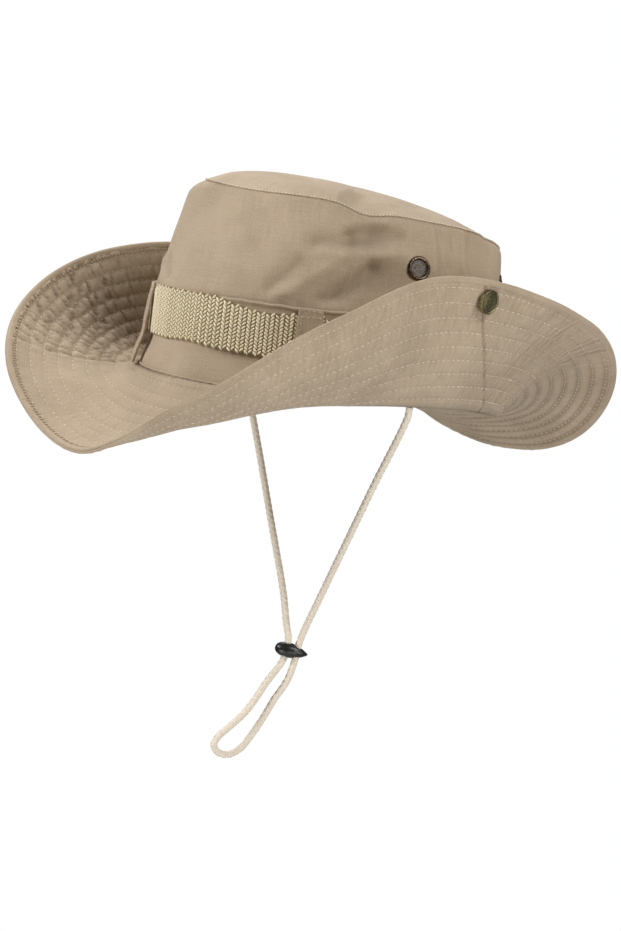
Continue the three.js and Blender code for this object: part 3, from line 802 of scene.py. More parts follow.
angles = SEAM_ANGLE + np.arange(WALL_STATIONS) * 360 / WALL_STATIONS
turn_in = np.sin(np.linspace(0, np.pi / 2, 15)[1:])
share = np.concatenate([np.linspace(0, 0.9, WALL_ROWS - 14), 0.9 + 0.1 * turn_in])
inner_share = np.concatenate([1 - 0.1 * (1 - turn_in[::-3]), np.linspace(0.88, 0, INNER_ROWS - 5)])
ring_angle = angles[:, None]
outer_h = -MM + share * (wall_tall(ring_angle) + MM)
inner_h = -MM + inner_share * (wall_tall(ring_angle) + MM)
outer = wall(ring_angle, outer_h, wall_relief(ring_angle, outer_h))
inner = wall(ring_angle, inner_h, wall_relief(ring_angle, inner_h) - CROWN_THICK)
points = np.concatenate([outer, inner], 1)
# Painted shade: the wall is painted darker where a fold presses it in, with at most 0.3 of the shade.
deep = smooth((-0.6 * MM - wall_relief(ring_angle, outer_h)) / (4 * MM)) * 0.3
wall_painted_shade = np.concatenate([deep, np.zeros_like(inner_h)], 1)
map_u = (np.arange(WALL_STATIONS + 1) * 360 / WALL_STATIONS) * CLOTH_PER_DEGREE
inner_v = 1 + CROWN_THICK / CROWN_HEIGHT + share[-1] - inner_share
map_v = np.concatenate([share, inner_v, [2.03]]) * CROWN_HEIGHT
crown = make_piece("crown_cloth", points, [ring_faces(WALL_STATIONS, WALL_ROWS + INNER_ROWS)], crown_cotton,
                   "cloth", ["crown_side"], uv=ring_map(map_u, map_v), painted_shade=wall_painted_shade)

# %% [markdown]
# ## Top panel
# The top is an oval panel, slightly domed and sewn to the wall all round. A crease runs into it where the
# seam has sunk. It is the same grid idea, with the middle row drawn together to a point.

# %% Top panel
TOP_STATIONS, TOP_ROWS, TOP_INNER_ROWS = 400, 56, 24
TOP_CREASES = [
    # angle, share of the radius, to angle, to share, wide, lift (millimetres)
    (338, 0.97, 345, 0.70, 3.2, -1.4),
    (333, 0.92, 339, 0.68, 3.2, 1.0),
    (352, 0.93, 10, 0.80, 4.0, -0.7),
    (200, 0.90, 180, 0.60, 5.0, -0.8),
    (120, 0.92, 150, 0.75, 5.0, -0.7),
    (60, 0.85, 240, 0.30, 9.0, -0.6),
]


def top_relief(angle, r):
    """Creases as on the wall, measured level across the panel, and small gathers near its seam."""
    x, y = HALF_WIDE * r * np.cos(np.radians(angle)), HALF_LONG * r * np.sin(np.radians(angle))
    total = 0.30 * MM * np.exp(-(1 - r) / 0.08) * waves(angle, (61, 83, 97, 112))
    for at, near, to, far, wide, lift in TOP_CREASES:
        ends = [(HALF_WIDE * q * np.cos(np.radians(a)), HALF_LONG * q * np.sin(np.radians(a)))
                for a, q in ((at, near), (to, far))]
        dx, dy = ends[1][0] - ends[0][0], ends[1][1] - ends[0][1]
        px, py = x - ends[0][0], y - ends[0][1]
        t = np.clip((px * dx + py * dy) / (dx * dx + dy * dy), 0, 1)
        gap = np.hypot(px - t * dx, py - t * dy)
        total = total + lift * MM * np.exp(-(gap / (wide * MM)) ** 2)
    return total


ring_angle = (SEAM_ANGLE + np.arange(TOP_STATIONS) * 360 / TOP_STATIONS)[:, None]
r_out = np.linspace(0, 1, TOP_ROWS) ** 0.9
r_in = np.linspace(1, 0, TOP_INNER_ROWS)
lift_out = GAP + CROWN_THICK - 1.1 * MM * smooth((r_out - 0.80) / 0.20)
lift_in = GAP - 0.2 * MM * smooth((r_in - 0.80) / 0.20)
edge = wall_relief(ring_angle, wall_tall(ring_angle))
upper = dome(ring_angle, r_out, lift_out + top_relief(ring_angle, r_out), edge)
lower = dome(ring_angle, r_in, lift_in + top_relief(ring_angle, r_in), edge)
points = np.concatenate([upper, lower], 1)
flat = np.stack([points[..., 0], points[..., 1]], -1).reshape(-1, 2)
faces = ring_faces(TOP_STATIONS, TOP_ROWS + TOP_INNER_ROWS)
top = make_piece("top_panel", points, [faces], crown_cotton, "cloth", ["crown_top"],
                 uv=flat[faces].reshape(-1, 2))
weld(top)

# %% [markdown]
# ## Stitches
# A stitch is a short thread that comes up, lies on the cloth and goes down again. There are thousands, so
# each is a tiny lens with a few dozen faces. One function sets such a lens at every place it is given,
# with its own length, width and height, as one joined mesh.

# %% Stitch helper
def lens(sides=6):
    """A lens along X: three rings of points between two poles."""
    t = np.linspace(0, 2 * np.pi, sides, endpoint=False)
    rings = [(-0.62, 0.72), (0.0, 1.0), (0.62, 0.72)]
    points = [(-1, 0, 0)] + [(x, r * math.cos(a), r * math.sin(a)) for x, r in rings for a in t] + [(1, 0, 0)]
    j = np.arange(sides)
    k = (j + 1) % sides
    quads = np.concatenate([np.stack([1 + g + j, 1 + g + sides + j, 1 + g + sides + k, 1 + g + k], -1)
                            for g in (0, sides)])
    last = 1 + 2 * sides
    ends = np.concatenate([np.stack([np.zeros(sides, int), 1 + j, 1 + k], -1),
                           np.stack([np.full(sides, 3 * sides + 1), last + k, last + j], -1)])
    return np.array(points), [quads, ends]


def scatter(lens_shape, centre, along, side, up, size):
    """Copies of a lens as one mesh: each point is its centre plus its three directions times its size."""
    base, groups = lens_shape
    count = len(centre)
    size = np.broadcast_to(size, (count, 3))
    points = centre[:, None] + sum(base[None, :, k, None] * (size[:, k, None] * way)[:, None]
                                   for k, way in enumerate((along, side, up)))
    first = (np.arange(count) * len(base))[:, None, None]
    return points.reshape(-1, 3), [(g[None] + first).reshape(-1, g.shape[1]) for g in groups]


def even_angles(line, spacing, start=0.0, stop=360.0):
    """Angles at which a line round the hat has steps of the same length."""
    fine = np.linspace(start, stop, 2001)
    points = line(fine)
    far = np.concatenate([[0], np.cumsum(np.linalg.norm(np.diff(points, axis=0), axis=1))])
    count = max(int(round(far[-1] / spacing)), 1)
    return np.interp((np.arange(count) + 0.5) * far[-1] / count, far, fine)


def sew(surface, level, spacing, size, start=0.0, stop=360.0, lean=0.0):
    """Stitches in a row at one level of a surface, each turned by lean degrees. The size is the same for all
    or a function of the angle. Returns points and faces."""
    at = even_angles(lambda a: surface(a, np.full_like(a, level)), spacing, start, stop)
    centre, along, up, normal = surface_frame(surface, at, np.full_like(at, level))
    up = np.cross(normal, along)
    c, s = math.cos(math.radians(lean)), math.sin(math.radians(lean))
    if callable(size):
        size = size(at)
    return scatter(lens(), centre, along * c + up * s, up * c - along * s, normal, size)


def join(parts):
    """Several lots of points and faces as one."""
    points, groups, first = [], [], 0
    for some, faces in parts:
        points.append(some)
        groups.extend(f + first for f in faces)
        first += len(some)
    return np.concatenate(points), groups


# %% [markdown]
# ## Top seam
# Where the panel meets the wall, the cloth is turned in and topstitched, so the seam stands up as a soft
# welt with a row of slanting stitches on it. The welt is a thin ring that follows the wall's top edge.

# %% Top seam
WELT = 0.42 * MM


def welt_line(angle, turn, thick):
    """A ring of round section along the wall's top edge."""
    rim = wall(angle, wall_tall(angle), wall_relief(angle, wall_tall(angle)))
    nx, ny = outward(angle)
    out = thick * np.cos(2 * np.pi * turn)
    lift = thick * np.sin(2 * np.pi * turn)
    out = out + 0.2 * MM
    return rim + np.stack([nx * out, ny * out, lift + 0.35 * MM + 0 * angle], -1)


section = np.linspace(0, 1, 10, endpoint=False)[None, :]
welt_thick = WELT * (1 + 0.35 * waves(ring_stations, (97, 131, 149)))
points = welt_line(ring_stations, section, welt_thick)
ring_u = np.arange(RING + 1) * 0.5 * CLOTH_PER_DEGREE
make_piece("top_seam", points, [ring_faces(RING, 10)], crown_cotton, "cloth",
           uv=ring_map(ring_u, np.linspace(0, 2 * np.pi * WELT, 11)))


def welt_face(angle, turn):
    """The welt's surface, by angle and by turn round its section in metres, for stitches."""
    return welt_line(angle, turn / MM, WELT)


seam_threads = sew(welt_face, 0.12 * MM, 1.9 * MM, (0.80 * MM, 0.33 * MM, 0.30 * MM), lean=18)
make_piece("top_seam_stitches", *seam_threads, thread_finish, "cloth")

# %% [markdown]
# ## Webbing band
# The band is thick cream webbing. Its yarns show as small slanting grains, leaning one way in one column and
# the other way in the next, with dark gaps between. A bump pattern would go flat at the band's edge, so the
# grains are real: lenses laid over a dark base, column by column round the crown.

# %% Webbing band
YARN_COLUMNS, YARN_ROWS = 228, 12
YARN_LEAN = 47                      # degrees
YARN_HALF = (1.60 * MM, 0.64 * MM, 0.60 * MM)
BASE_OUT = 1.35 * MM


def band_top(angle):
    """Upper edge of the webbing, which has slipped down beside the left front loop."""
    slipped = 2.8 * hump(angle, -47, 10) + 4.5 * hump(angle, -23, 5) - 2.2 * overhang(angle)
    return BAND_BOTTOM + BAND_TALL - slipped * MM


def band_bottom(angle):
    """Lower edge of the webbing."""
    return BAND_BOTTOM + 0.3 * MM + 1.4 * MM * hump(angle, -77, 9)


def band_face(angle, share):
    """The webbing's outer face, from its lower edge at 0 to its upper edge at 1, in metres for steps."""
    low, high = band_bottom(angle), band_top(angle)
    return wall(angle, low + (high - low) * share / MM, BASE_OUT + 0.25 * MM * waves(angle, (23, 31, 41)))


webbing_base_finish = mottled("webbing_shadow", 2 * MM, (0.20, 0.15, 0.07), (0.32, 0.25, 0.13), 0.95,
                              Specular_IOR_Level=0.1)

yarn = Paint("cream_yarn", Specular_IOR_Level=0.25, Sheen_Weight=0.15)
yarn_place = yarn.add("TexCoord", {}, {}, out=3)
yarn_tone = yarn.noise(yarn_place, (2.5 * MM, 2.5 * MM, 2.5 * MM), detail=3)
yarn_cloud = yarn.noise(yarn_place, (20 * MM, 20 * MM, 20 * MM))
yarn_color = yarn.mix(yarn_tone * 0.6 + yarn_cloud * 0.4, (0.76, 0.66, 0.44, 1), (1.0, 0.92, 0.72, 1))
yarn_finish = yarn.finish(yarn_color, 0.75)

ring_angle = (np.arange(RING) * 0.5)[:, None]
low, high = band_bottom(ring_angle), band_top(ring_angle)
under_tape = 40 * MM
section_h = np.concatenate([low, low, high, high, 0 * low + under_tape, 0 * low + under_tape - 0.3 * MM], 1)
section_out = np.array([GAP, BASE_OUT, BASE_OUT, 1.0 * MM, 1.0 * MM, GAP])
section_out = section_out + np.array([0, 1, 1, 0, 0, 0]) * 0.25 * MM * waves(ring_angle, (23, 31, 41))
make_piece("webbing_base", wall(ring_angle, section_h, section_out), [ring_faces(RING, 6)],
           webbing_base_finish, "webbing", ["webbing_band"], sharp=40)

column, row = np.meshgrid(np.arange(YARN_COLUMNS), np.arange(YARN_ROWS), indexing="ij")
yarn_angle = (column.ravel() + 0.5) * 360 / YARN_COLUMNS
yarn_share = (row.ravel() + 0.30 + 0.5 * (column.ravel() % 2)) / YARN_ROWS
centre, along, up, normal = surface_frame(band_face, yarn_angle, yarn_share * MM)
lean = np.radians(np.where(column.ravel() % 2, YARN_LEAN, -YARN_LEAN))[:, None]
yarn_way = along * np.cos(lean) + up * np.sin(lean)
points, faces = scatter(lens(), centre, yarn_way, np.cross(normal, yarn_way), normal, YARN_HALF)
make_piece("webbing_yarns", points, faces, yarn_finish, "webbing")

# %% [markdown]
# ## Seam tape and loops
# Above the webbing a narrow strip of cloth is sewn on, with its folded edge standing up. Four cloth loops go
# from this strip over the webbing to the brim. On the left front the loop lies flat; on the right front it
# bows out, and one sees daylight behind it. A loop is a bent plate: a grid across and along, with a height
# off the wall that depends on how far down it is.

# %% Seam tape
tape_profile = np.array([           # height, out, in millimetres
    (40.6, 0.3), (40.6, 0.9), (43.0, 0.95), (45.0, 0.9), (45.5, 1.2), (45.9, 1.75), (46.5, 1.9), (47.0, 1.6),
    (47.3, 1.0), (47.3, 0.3),
]) * MM
crease = (1 + 0.15 * waves(ring_stations, (67, 89, 103))) * (1 - 0.6 * overhang(ring_stations))
lift = 0.25 * MM * waves(ring_stations, (31, 43, 53))
points = wall(ring_stations, tape_profile[:, 0] + lift, tape_profile[:, 1] * crease)
tape_round = np.concatenate([[0], np.cumsum(np.hypot(*np.diff(tape_profile, axis=0).T)), [0.015]])
make_piece("seam_tape", points, [ring_faces(RING, len(tape_profile))], crown_cotton, "cloth",
           ["band_tape"], uv=ring_map(ring_u, tape_round))

# %% Loops
LOOP_WIDE, LOOP_THICK, LOOP_TOP = 13 * MM, 1.0 * MM, 47.2 * MM
LOOP_STAND = np.array([             # share of its height, tight and loose distance off the wall (mm)
    (0, 1.0, 2.4), (0.25, 1.9, 2.4), (0.5, 1.9, 1.8), (0.75, 1.9, 0.8), (1, 1.5, 0),
])
LOOPS = [("loop_left_front", -33, 0.15), ("loop_left_back", 57, 1.0), ("loop_right_back", 147, 0.8),
         ("loop_right_front", 248.5, 1.2)]
HALF_LOOP_ANGLE = math.degrees(LOOP_WIDE / 2 / ((HALF_LONG + HALF_WIDE) / 2))


def loop_stand(v, slack):
    """Distance off the wall at share v of the loop's height, in smooth steps between the table's rows."""
    k = np.clip(np.searchsorted(LOOP_STAND[:, 0], v, side="right") - 1, 0, len(LOOP_STAND) - 2)
    t = smooth((v - LOOP_STAND[k, 0]) / (LOOP_STAND[k + 1, 0] - LOOP_STAND[k, 0]))
    row = LOOP_STAND[k] + (LOOP_STAND[k + 1] - LOOP_STAND[k]) * t[..., None]
    return (row[..., 1] + slack * row[..., 2]) * MM


def brim_height(angle, out):
    """Highest point of the brim above its seam, within that distance of the wall."""
    s = np.arange(0, 16, 0.5)[None, :] * MM
    angle = np.atleast_1d(angle).astype(float)[:, None]
    point = brim(angle, s, BRIM_THICK / 2)
    wx, wy = outward(angle, shape(SWAY, angle))
    ox, oy = oval(angle, 0)
    reach = (point[..., 0] - ox) * wx + (point[..., 1] - oy) * wy
    above = point[..., 2] - shape(SEAM, angle) * BRIM_WIDTH
    return np.where(reach < out + MM, above, -1).max()


def loop_surface(middle, slack):
    """The loop's middle as a surface: across it in degrees, and up it in metres of share."""
    foot = 0.8 * MM + brim_height(middle + np.linspace(-1, 1, 5) * HALF_LOOP_ANGLE, 4 * MM)

    def face(angle, share, out=0.0):
        v = np.clip(share / MM, 0, 1)
        return wall(angle, foot + (LOOP_TOP - foot) * v, loop_stand(v, slack) + out)

    return face


def loop_piece(name, middle, slack):
    """One loop as a closed plate with raised sewn edges. Returns its middle surface, for the stitches."""
    face = loop_surface(middle, slack)
    across, along = 22, 48
    u = np.linspace(-1, 1, across)
    v = np.linspace(0, 1, along)[:, None]
    edge = 0.35 * MM * np.exp(-((np.abs(u) - 0.9) / 0.09) ** 2) + 0.1 * MM * np.sin(9 * u + 14 * v)
    front = face(middle + u * HALF_LOOP_ANGLE, v * MM, LOOP_THICK + edge)
    back = face(middle + u[::-1] * HALF_LOOP_ANGLE, v * MM, 0.0)
    points = np.concatenate([front, back], 1)
    body = ring_faces(along, 2 * across)[:-2 * across]
    first, last = np.arange(2 * across), (along - 1) * 2 * across + np.arange(2 * across)
    width = np.concatenate([u, u[::-1]]) * LOOP_WIDE / 2
    place = np.stack(np.broadcast_arrays(width, v * (LOOP_TOP - 5 * MM)), -1).reshape(-1, 2)
    strips = [np.stack([e[:across - 1], e[1:across], e[::-1][1:across], e[::-1][:across - 1]], -1)
              for e in (first, last)]
    faces = np.concatenate([body, strips[0][:, ::-1], strips[1]])
    uv = place[faces].reshape(-1, 2)
    piece_name = name.replace("loop", "cloth_loop")
    weld(make_piece(piece_name, points, [faces], crown_cotton, "cloth", [name], uv=uv))
    return face


def loop_stitches(face, middle):
    """Rows up both edges of a loop and two short rows across its top."""
    def outer(angle, share):
        return face(angle, share, LOOP_THICK + 0.2 * MM)

    parts = []
    size = (0.85 * MM, 0.22 * MM, 0.2 * MM)
    for side in (-0.74, 0.74):
        share = (np.arange(14) + 0.5) / 14 * MM
        angle = np.full_like(share, middle + side * HALF_LOOP_ANGLE)
        centre, along, up, normal = surface_frame(outer, angle, share)
        parts.append(scatter(lens(), centre, up, along, normal, size))
    for share in (0.90, 0.97):
        parts.append(sew(outer, share * MM, 2.6 * MM, size, middle - 0.8 * HALF_LOOP_ANGLE,
                         middle + 0.8 * HALF_LOOP_ANGLE))
    return join(parts)


parts = [loop_stitches(loop_piece(name, middle, slack), middle) for name, middle, slack in LOOPS]
make_piece("loop_stitches", *join(parts), thread_finish, "cloth")

# %% [markdown]
# ## Eyelets
# Four bronzed eyelets let air through the crown. Each is a rolled ring clinched through a real hole, with a
# screen of fine wire across it. The ring is a lathe shape; the screen is a handful of wavy wires in two
# directions, each going over and under the others.

# %% Eyelets
VENTS = [("left_front", 2.8, 72.5), ("left_back", 57, 68.5), ("right_back", 147, 68.5),
         ("right_front", 201.2, 72.5)]
VENT_WIDE, VENT_BARREL, VENT_WALL = 13.2 * MM, 9.8 * MM, 0.5 * MM
WIRE, WIRE_SPACING = 0.20 * MM, 0.98 * MM

bronze_finish = mottled("dark_bronze", 1.2 * MM, (0.085, 0.06, 0.04), (0.30, 0.23, 0.15), 0.22,
                        edge=(0.4, 0.75), worn=0.3, relief=0.05 * MM, detail=4, Metallic=1.0)
steel_finish = mottled("dark_wire", 1.5 * MM, (0.26, 0.26, 0.27), (0.50, 0.50, 0.52), 0.42, Metallic=1.0)


def wall_face(angle, h):
    """The crown wall's outer face."""
    return wall(angle, h, 0.0)


def place_on(face, angle, level, step=4 * MM):
    """Point of a face and its normal, averaged over a few millimetres, as a fitting sits on soft cloth."""
    at = face(np.array(angle, float), level)
    along = face(np.array(angle + 4.0), level) - face(np.array(angle - 4.0), level)
    up = face(np.array(angle, float), level + step) - face(np.array(angle, float), level - step)
    normal = np.cross(along, up)
    return at, normal / np.linalg.norm(normal)


def rounded(profile, radius, steps=4):
    """A lathe profile with its corners cut by short arcs: each corner becomes a curve between points a
    radius before and after it."""
    corners = np.array(profile, float)
    made = []
    for before, corner, after in zip(np.roll(corners, 1, 0), corners, np.roll(corners, -1, 0)):
        if corner[0] == 0:
            made.append(corner)
            continue
        a, b = before - corner, after - corner
        reach = min(radius, 0.45 * np.linalg.norm(a), 0.45 * np.linalg.norm(b))
        a, b = corner + a / np.linalg.norm(a) * reach, corner + b / np.linalg.norm(b) * reach
        t = np.linspace(0, 1, steps)[:, None]
        made.extend((1 - t) ** 2 * a + 2 * t * (1 - t) * corner + t ** 2 * b)
    return np.array(made)


def screen_wires(at, normal, radius):
    """Two crossed sets of wavy wires inside a circle, as short tubes."""
    side = np.cross(normal, (0, 0, 1.0))
    side /= np.linalg.norm(side)
    other = np.cross(normal, side)
    turn45 = [(side + other) / math.sqrt(2), (side - other) / math.sqrt(2)]
    parts = []
    count = int(radius / WIRE_SPACING)
    for one, two, phase in ((turn45[0], turn45[1], 0), (turn45[1], turn45[0], 1)):
        for k in range(-count, count + 1):
            half = math.sqrt(radius ** 2 - (k * WIRE_SPACING) ** 2)
            run = np.linspace(-half, half, max(int(half / WIRE_SPACING * 6), 8))
            weave = WIRE * 1.1 * np.cos(np.pi * (run / WIRE_SPACING + k + phase))
            line = at + run[:, None] * one + k * WIRE_SPACING * two + weave[:, None] * normal
            parts.append(wire(line, one, two, normal))
    return join(parts)


def wire(line, ahead, side, up):
    """A thin six-sided tube along a nearly straight line, with a point at each end."""
    t = np.linspace(0, 2 * np.pi, 6, endpoint=False)[None, :, None]
    skin = line[:, None] + WIRE * (np.cos(t) * side + np.sin(t) * up)
    points = np.vstack([skin.reshape(-1, 3), line[0] - WIRE * ahead, line[-1] + WIRE * ahead])
    j = np.arange(6)
    k = (j + 1) % 6
    last = (len(line) - 1) * 6
    caps = np.concatenate([np.stack([k, j, np.full(6, len(points) - 2)], -1),
                           np.stack([last + j, last + k, np.full(6, len(points) - 1)], -1)])
    return points, [ring_faces(len(line), 6)[:-6], caps]


holes = []
for name, angle, height in VENTS:
    at, normal = place_on(wall_face, angle, height * MM)
    if name == "left_front":
        turned_by = math.atan(VENT_TILT)
        normal = Matrix.Rotation(-turned_by, 3, "Z") @ Vector(normal)
        normal = np.array(normal)
    bulge = VENT_WIDE ** 2 / 8 / HALF_WIDE
    bore, barrel, flange = VENT_BARREL / 2 - VENT_WALL, VENT_BARREL / 2, VENT_WIDE / 2
    front, back = 0.1 * MM, -CROWN_THICK - GAP - 2 * bulge
    ring = rounded([
        (bore, back - 0.6 * MM), (flange * 0.94, back - 0.5 * MM), (flange * 0.94, back), (barrel, back),
        (barrel, front), (flange, front - 0.1 * MM), (flange, front + 0.45 * MM),
        (flange * 0.90, front + 1.0 * MM), (flange * 0.80, front + 1.05 * MM), (bore, front + 0.35 * MM),
    ], 0.35 * MM)
    points, faces = turned(ring, at, normal, 56)
    make_piece(f"eyelet_{name}", points, faces, bronze_finish, "dark_metal", [f"vent_{name}"], sharp=60)
    points, faces = screen_wires(at - normal * 0.1 * MM, normal, bore + 0.1 * MM)
    make_piece(f"eyelet_screen_{name}", points, faces, steel_finish, "screen", [f"vent_screen_{name}"])
    holes.append(rod(at, normal, barrel + GAP, 5 * MM))
cut(crown, holes)
print("crown cut for", len(holes), "eyelets")

# %% [markdown]
# ## Quilted brim
# The brim is two layers of cotton with stiffening between them, held by nine rows of stitching. Each row
# pulls the layers together, and the cloth between two rows swells a little and puckers. A plain bent sheet
# with a bump pattern would have flat outlines; here each layer is a closed body of its own whose outer face
# carries the quilting: a swell between rows, a groove along each row, pillows and pleats for the puckers.

# %% Quilting formulas
ROW_LEVELS = (5 + 8 * np.arange(9)) * MM
STRIPS = np.concatenate([[0], ROW_LEVELS, [77 * MM]])
EDGE_WIDE = 2.6 * MM
BRIM_END = BRIM_WIDTH - EDGE_WIDE - GAP
SIDE_SEAM = np.array([              # distance from the crown (mm), angle
    (0, 35), (8.5, 31), (14, 28), (21, 24.5), (30, 21), (39, 18), (47, 15.5), (56, 14), (75, 12),
])
MIRROR_ANGLE = 204                  # an angle and its mirror image add up to this
PUCKERS = {
    # side of the brim: from angle, to angle, easing in, easing out, depth (mm), length of a wave (mm), slant
    1: [(204, 243, 16, 3.5, 2.1, 5.2, 0.55), (165, 234, 30, 20, 0.8, 8.5, 0.3),
        (250, 345, 20, 25, 0.22, 4.6, 0.2), (-10, 130, 40, 40, 0.3, 5.5, 0.3)],
    -1: [(-20, 60, 20, 20, 0.22, 3.6, 0.1), (140, 290, 40, 40, 0.5, 5.2, 0.2)],
}
PLEATS = 190
FRONT_CREASE = 240.5                # the upper side's crease at the right front, in degrees
# Painted shadow: the upper side is painted darker in the channel beside the crown, most at DARKEST and fading
# out over CHANNEL_EASE.
DARKEST = 205                       # where the channel beside the crown is darkest
CHANNEL_EASE = 44 * MM
DEEPEST = -0.85 * MM                # a face sinks no deeper than this, for the layers not to meet


def around(level):
    """Length round the brim at a distance from the crown."""
    return 0.589 + 0.353 * level / BRIM_WIDTH


def strip(s):
    """Which strip between two rows a distance lies in, and how far across it, from 0 to 1."""
    k = np.clip(np.searchsorted(STRIPS, s, side="right") - 1, 0, len(STRIPS) - 2)
    return k, np.clip((s - STRIPS[k]) / (STRIPS[k + 1] - STRIPS[k]), 0, 1)


def row_bell(s, wide):
    """A bell of the distance to the nearest row."""
    return np.exp(-(np.abs(np.subtract.outer(s, ROW_LEVELS)).min(-1) / wide) ** 2)


def pillow(phase):
    """A wave of pillows: it rises slowly from a sharp valley and falls quickly into the next one, as the sine
    of pi times a power of the phase's fraction."""
    w = phase - np.floor(phase)
    return np.sin(np.pi * w ** 1.45)


def puckers(angle, s, side):
    """Pillows between the rows. Each strip has its own whole number of them, pushed about by slow sines."""
    k, f = strip(s)
    middle = (STRIPS[k] + STRIPS[k + 1]) / 2
    arch = np.sin(np.pi * f) ** 0.7
    total = 0.0
    for start, stop, ease_in, ease_out, depth, length, slant in PUCKERS[side]:
        count = np.round(around(middle) / (length * MM))
        push = 0.45 * waves(angle, (29, 43, 61), 2.3 * k) + 0.30 * waves(angle, (89, 127), 1.1 * k)
        phase = count * angle / 360 + 0.37 * k + slant * (f - 0.5) + push
        strength = depth * MM * stretch(angle, start, stop, ease_in, ease_out)
        total = total + strength * (pillow(phase) - 0.45)
    return total * arch


def pleats(angle, s):
    """Gathers of the under side that run on across the rows. Their number is the same at every distance, so
    they spread towards the edge; slow sines push them about and make some stronger than others."""
    push = 0.7 * waves(angle, (23, 37, 59)) + 1.2 * waves(angle, (11, 17), 1.0) * s / BRIM_WIDTH
    strong = stretch(angle, 6, 122, 50, 20) * (0.75 + 0.6 * waves(angle, (19, 41, 67), 2.0))
    strong = strong * (1 - 0.75 * billow(angle))
    fold = pillow(-PLEATS * angle / 360 + push) - 0.55
    return 1.0 * MM * strong * fold * smooth(s / (7 * MM))


def billow(angle):
    """1 at the back left, where the strips between the rows stand out as rolls on the under side."""
    return stretch(angle, 48, 128, 26, 22)


def seam_gap(angle, s):
    """Distance along the cloth from the nearer of the brim's two side seams."""
    seam = np.interp(s, SIDE_SEAM[:, 0] * MM, SIDE_SEAM[:, 1])
    left = apart(angle, seam)
    right = apart(MIRROR_ANGLE - angle, seam)
    return np.where(np.abs(left) < np.abs(right), left, right) * around(s) / 360


def quilting(angle, s, side):
    """How far a face stands out: the swell between rows, the grooves of rows and side seams, the puckers."""
    k, f = strip(s)
    swell = 0.12 if side > 0 else 0.22 + billow(angle) * (0.60 + 0.55 * waves(angle, (7, 13, 19), 1.9 * k))
    relief = swell * MM * np.sin(np.pi * f) ** 0.8 - 0.26 * MM * row_bell(s, 0.55 * MM)
    gap = seam_gap(angle, s)
    relief = relief - 0.9 * MM * np.exp(-(gap / (0.85 * MM)) ** 2)
    relief = relief + 0.35 * MM * np.exp(-(gap / (2.4 * MM)) ** 2)
    if side > 0:
        crease = apart(angle, FRONT_CREASE + 12 * MM / np.maximum(s, 8 * MM)) * around(s) / 360
        relief = relief - 0.9 * MM * np.exp(-(crease / (1.1 * MM)) ** 2) * smooth(s / (20 * MM))
        relief = relief + 0.5 * MM * np.exp(-((crease - 3 * MM) / (2 * MM)) ** 2) * smooth(s / (20 * MM))
    else:
        relief = relief + pleats(angle, s)
    return np.maximum(relief + puckers(angle, s, side), DEEPEST)


def brim_painted_shade(angle, s, side):
    """Painted shade: darker in crease valleys; on the upper side, a painted shadow close to the crown."""
    # Painted shade along the side seams, and on the under side in the pleat valleys and between the rolls.
    seam = 0.6 * np.exp(-(seam_gap(angle, s) / (0.8 * MM)) ** 2)
    if side < 0:
        rolls = 0.55 * billow(angle) * row_bell(s, 1.5 * MM)
        return np.maximum(np.maximum(0.55 * smooth(-pleats(angle, s) / (0.7 * MM)), seam), rolls)
    # Painted shade in the pillow valleys, and a painted shadow where the upper side rises steeply close to
    # the crown.
    crease = smooth((-puckers(angle, s, side) - 0.1 * MM) / (0.7 * MM))
    reach = (14 + 10 * hump(angle, DARKEST, 25)) * MM
    painted_crown_shadow = (1 - smooth((s - reach) / CHANNEL_EASE)) * smooth((shape(ROOT, angle) - 5) / 35)
    return np.clip(0.75 * crease + 0.8 * painted_crown_shadow, 0, 1)


def drift(angle, s):
    """Soft unevenness of the whole brim, growing to its edge. The back hangs a little lower."""
    out = np.clip(s / BRIM_WIDTH, 0, 1)
    return 0.55 * MM * out * waves(angle, (9, 14, 19, 26), 0.7) - 2.0 * MM * out ** 2 * hump(angle, 84, 20)


def brim_face(side, lift=0.0):
    """The brim's upper face (side 1) or under face (side -1), with its quilting, as a surface."""
    def face(angle, s):
        n = side * (BRIM_THICK / 2 + quilting(angle, s, side) + lift) + drift(angle, s)
        return brim(angle, s, n)

    return face


# %% Brim layers
BRIM_STATIONS = 1160
STEPS = np.array([0, 0.9, 2.6, 5.0, 7.1])
OUTER_LEVELS = (ROW_LEVELS[:-1, None] / MM + STEPS).ravel()
OUTER_LEVELS = np.concatenate([[3.0, 4.2], OUTER_LEVELS, [69, 69.8, 71.2, 72.1]]) * MM
INNER_LEVELS = np.linspace(BRIM_END, 4 * MM, 7)


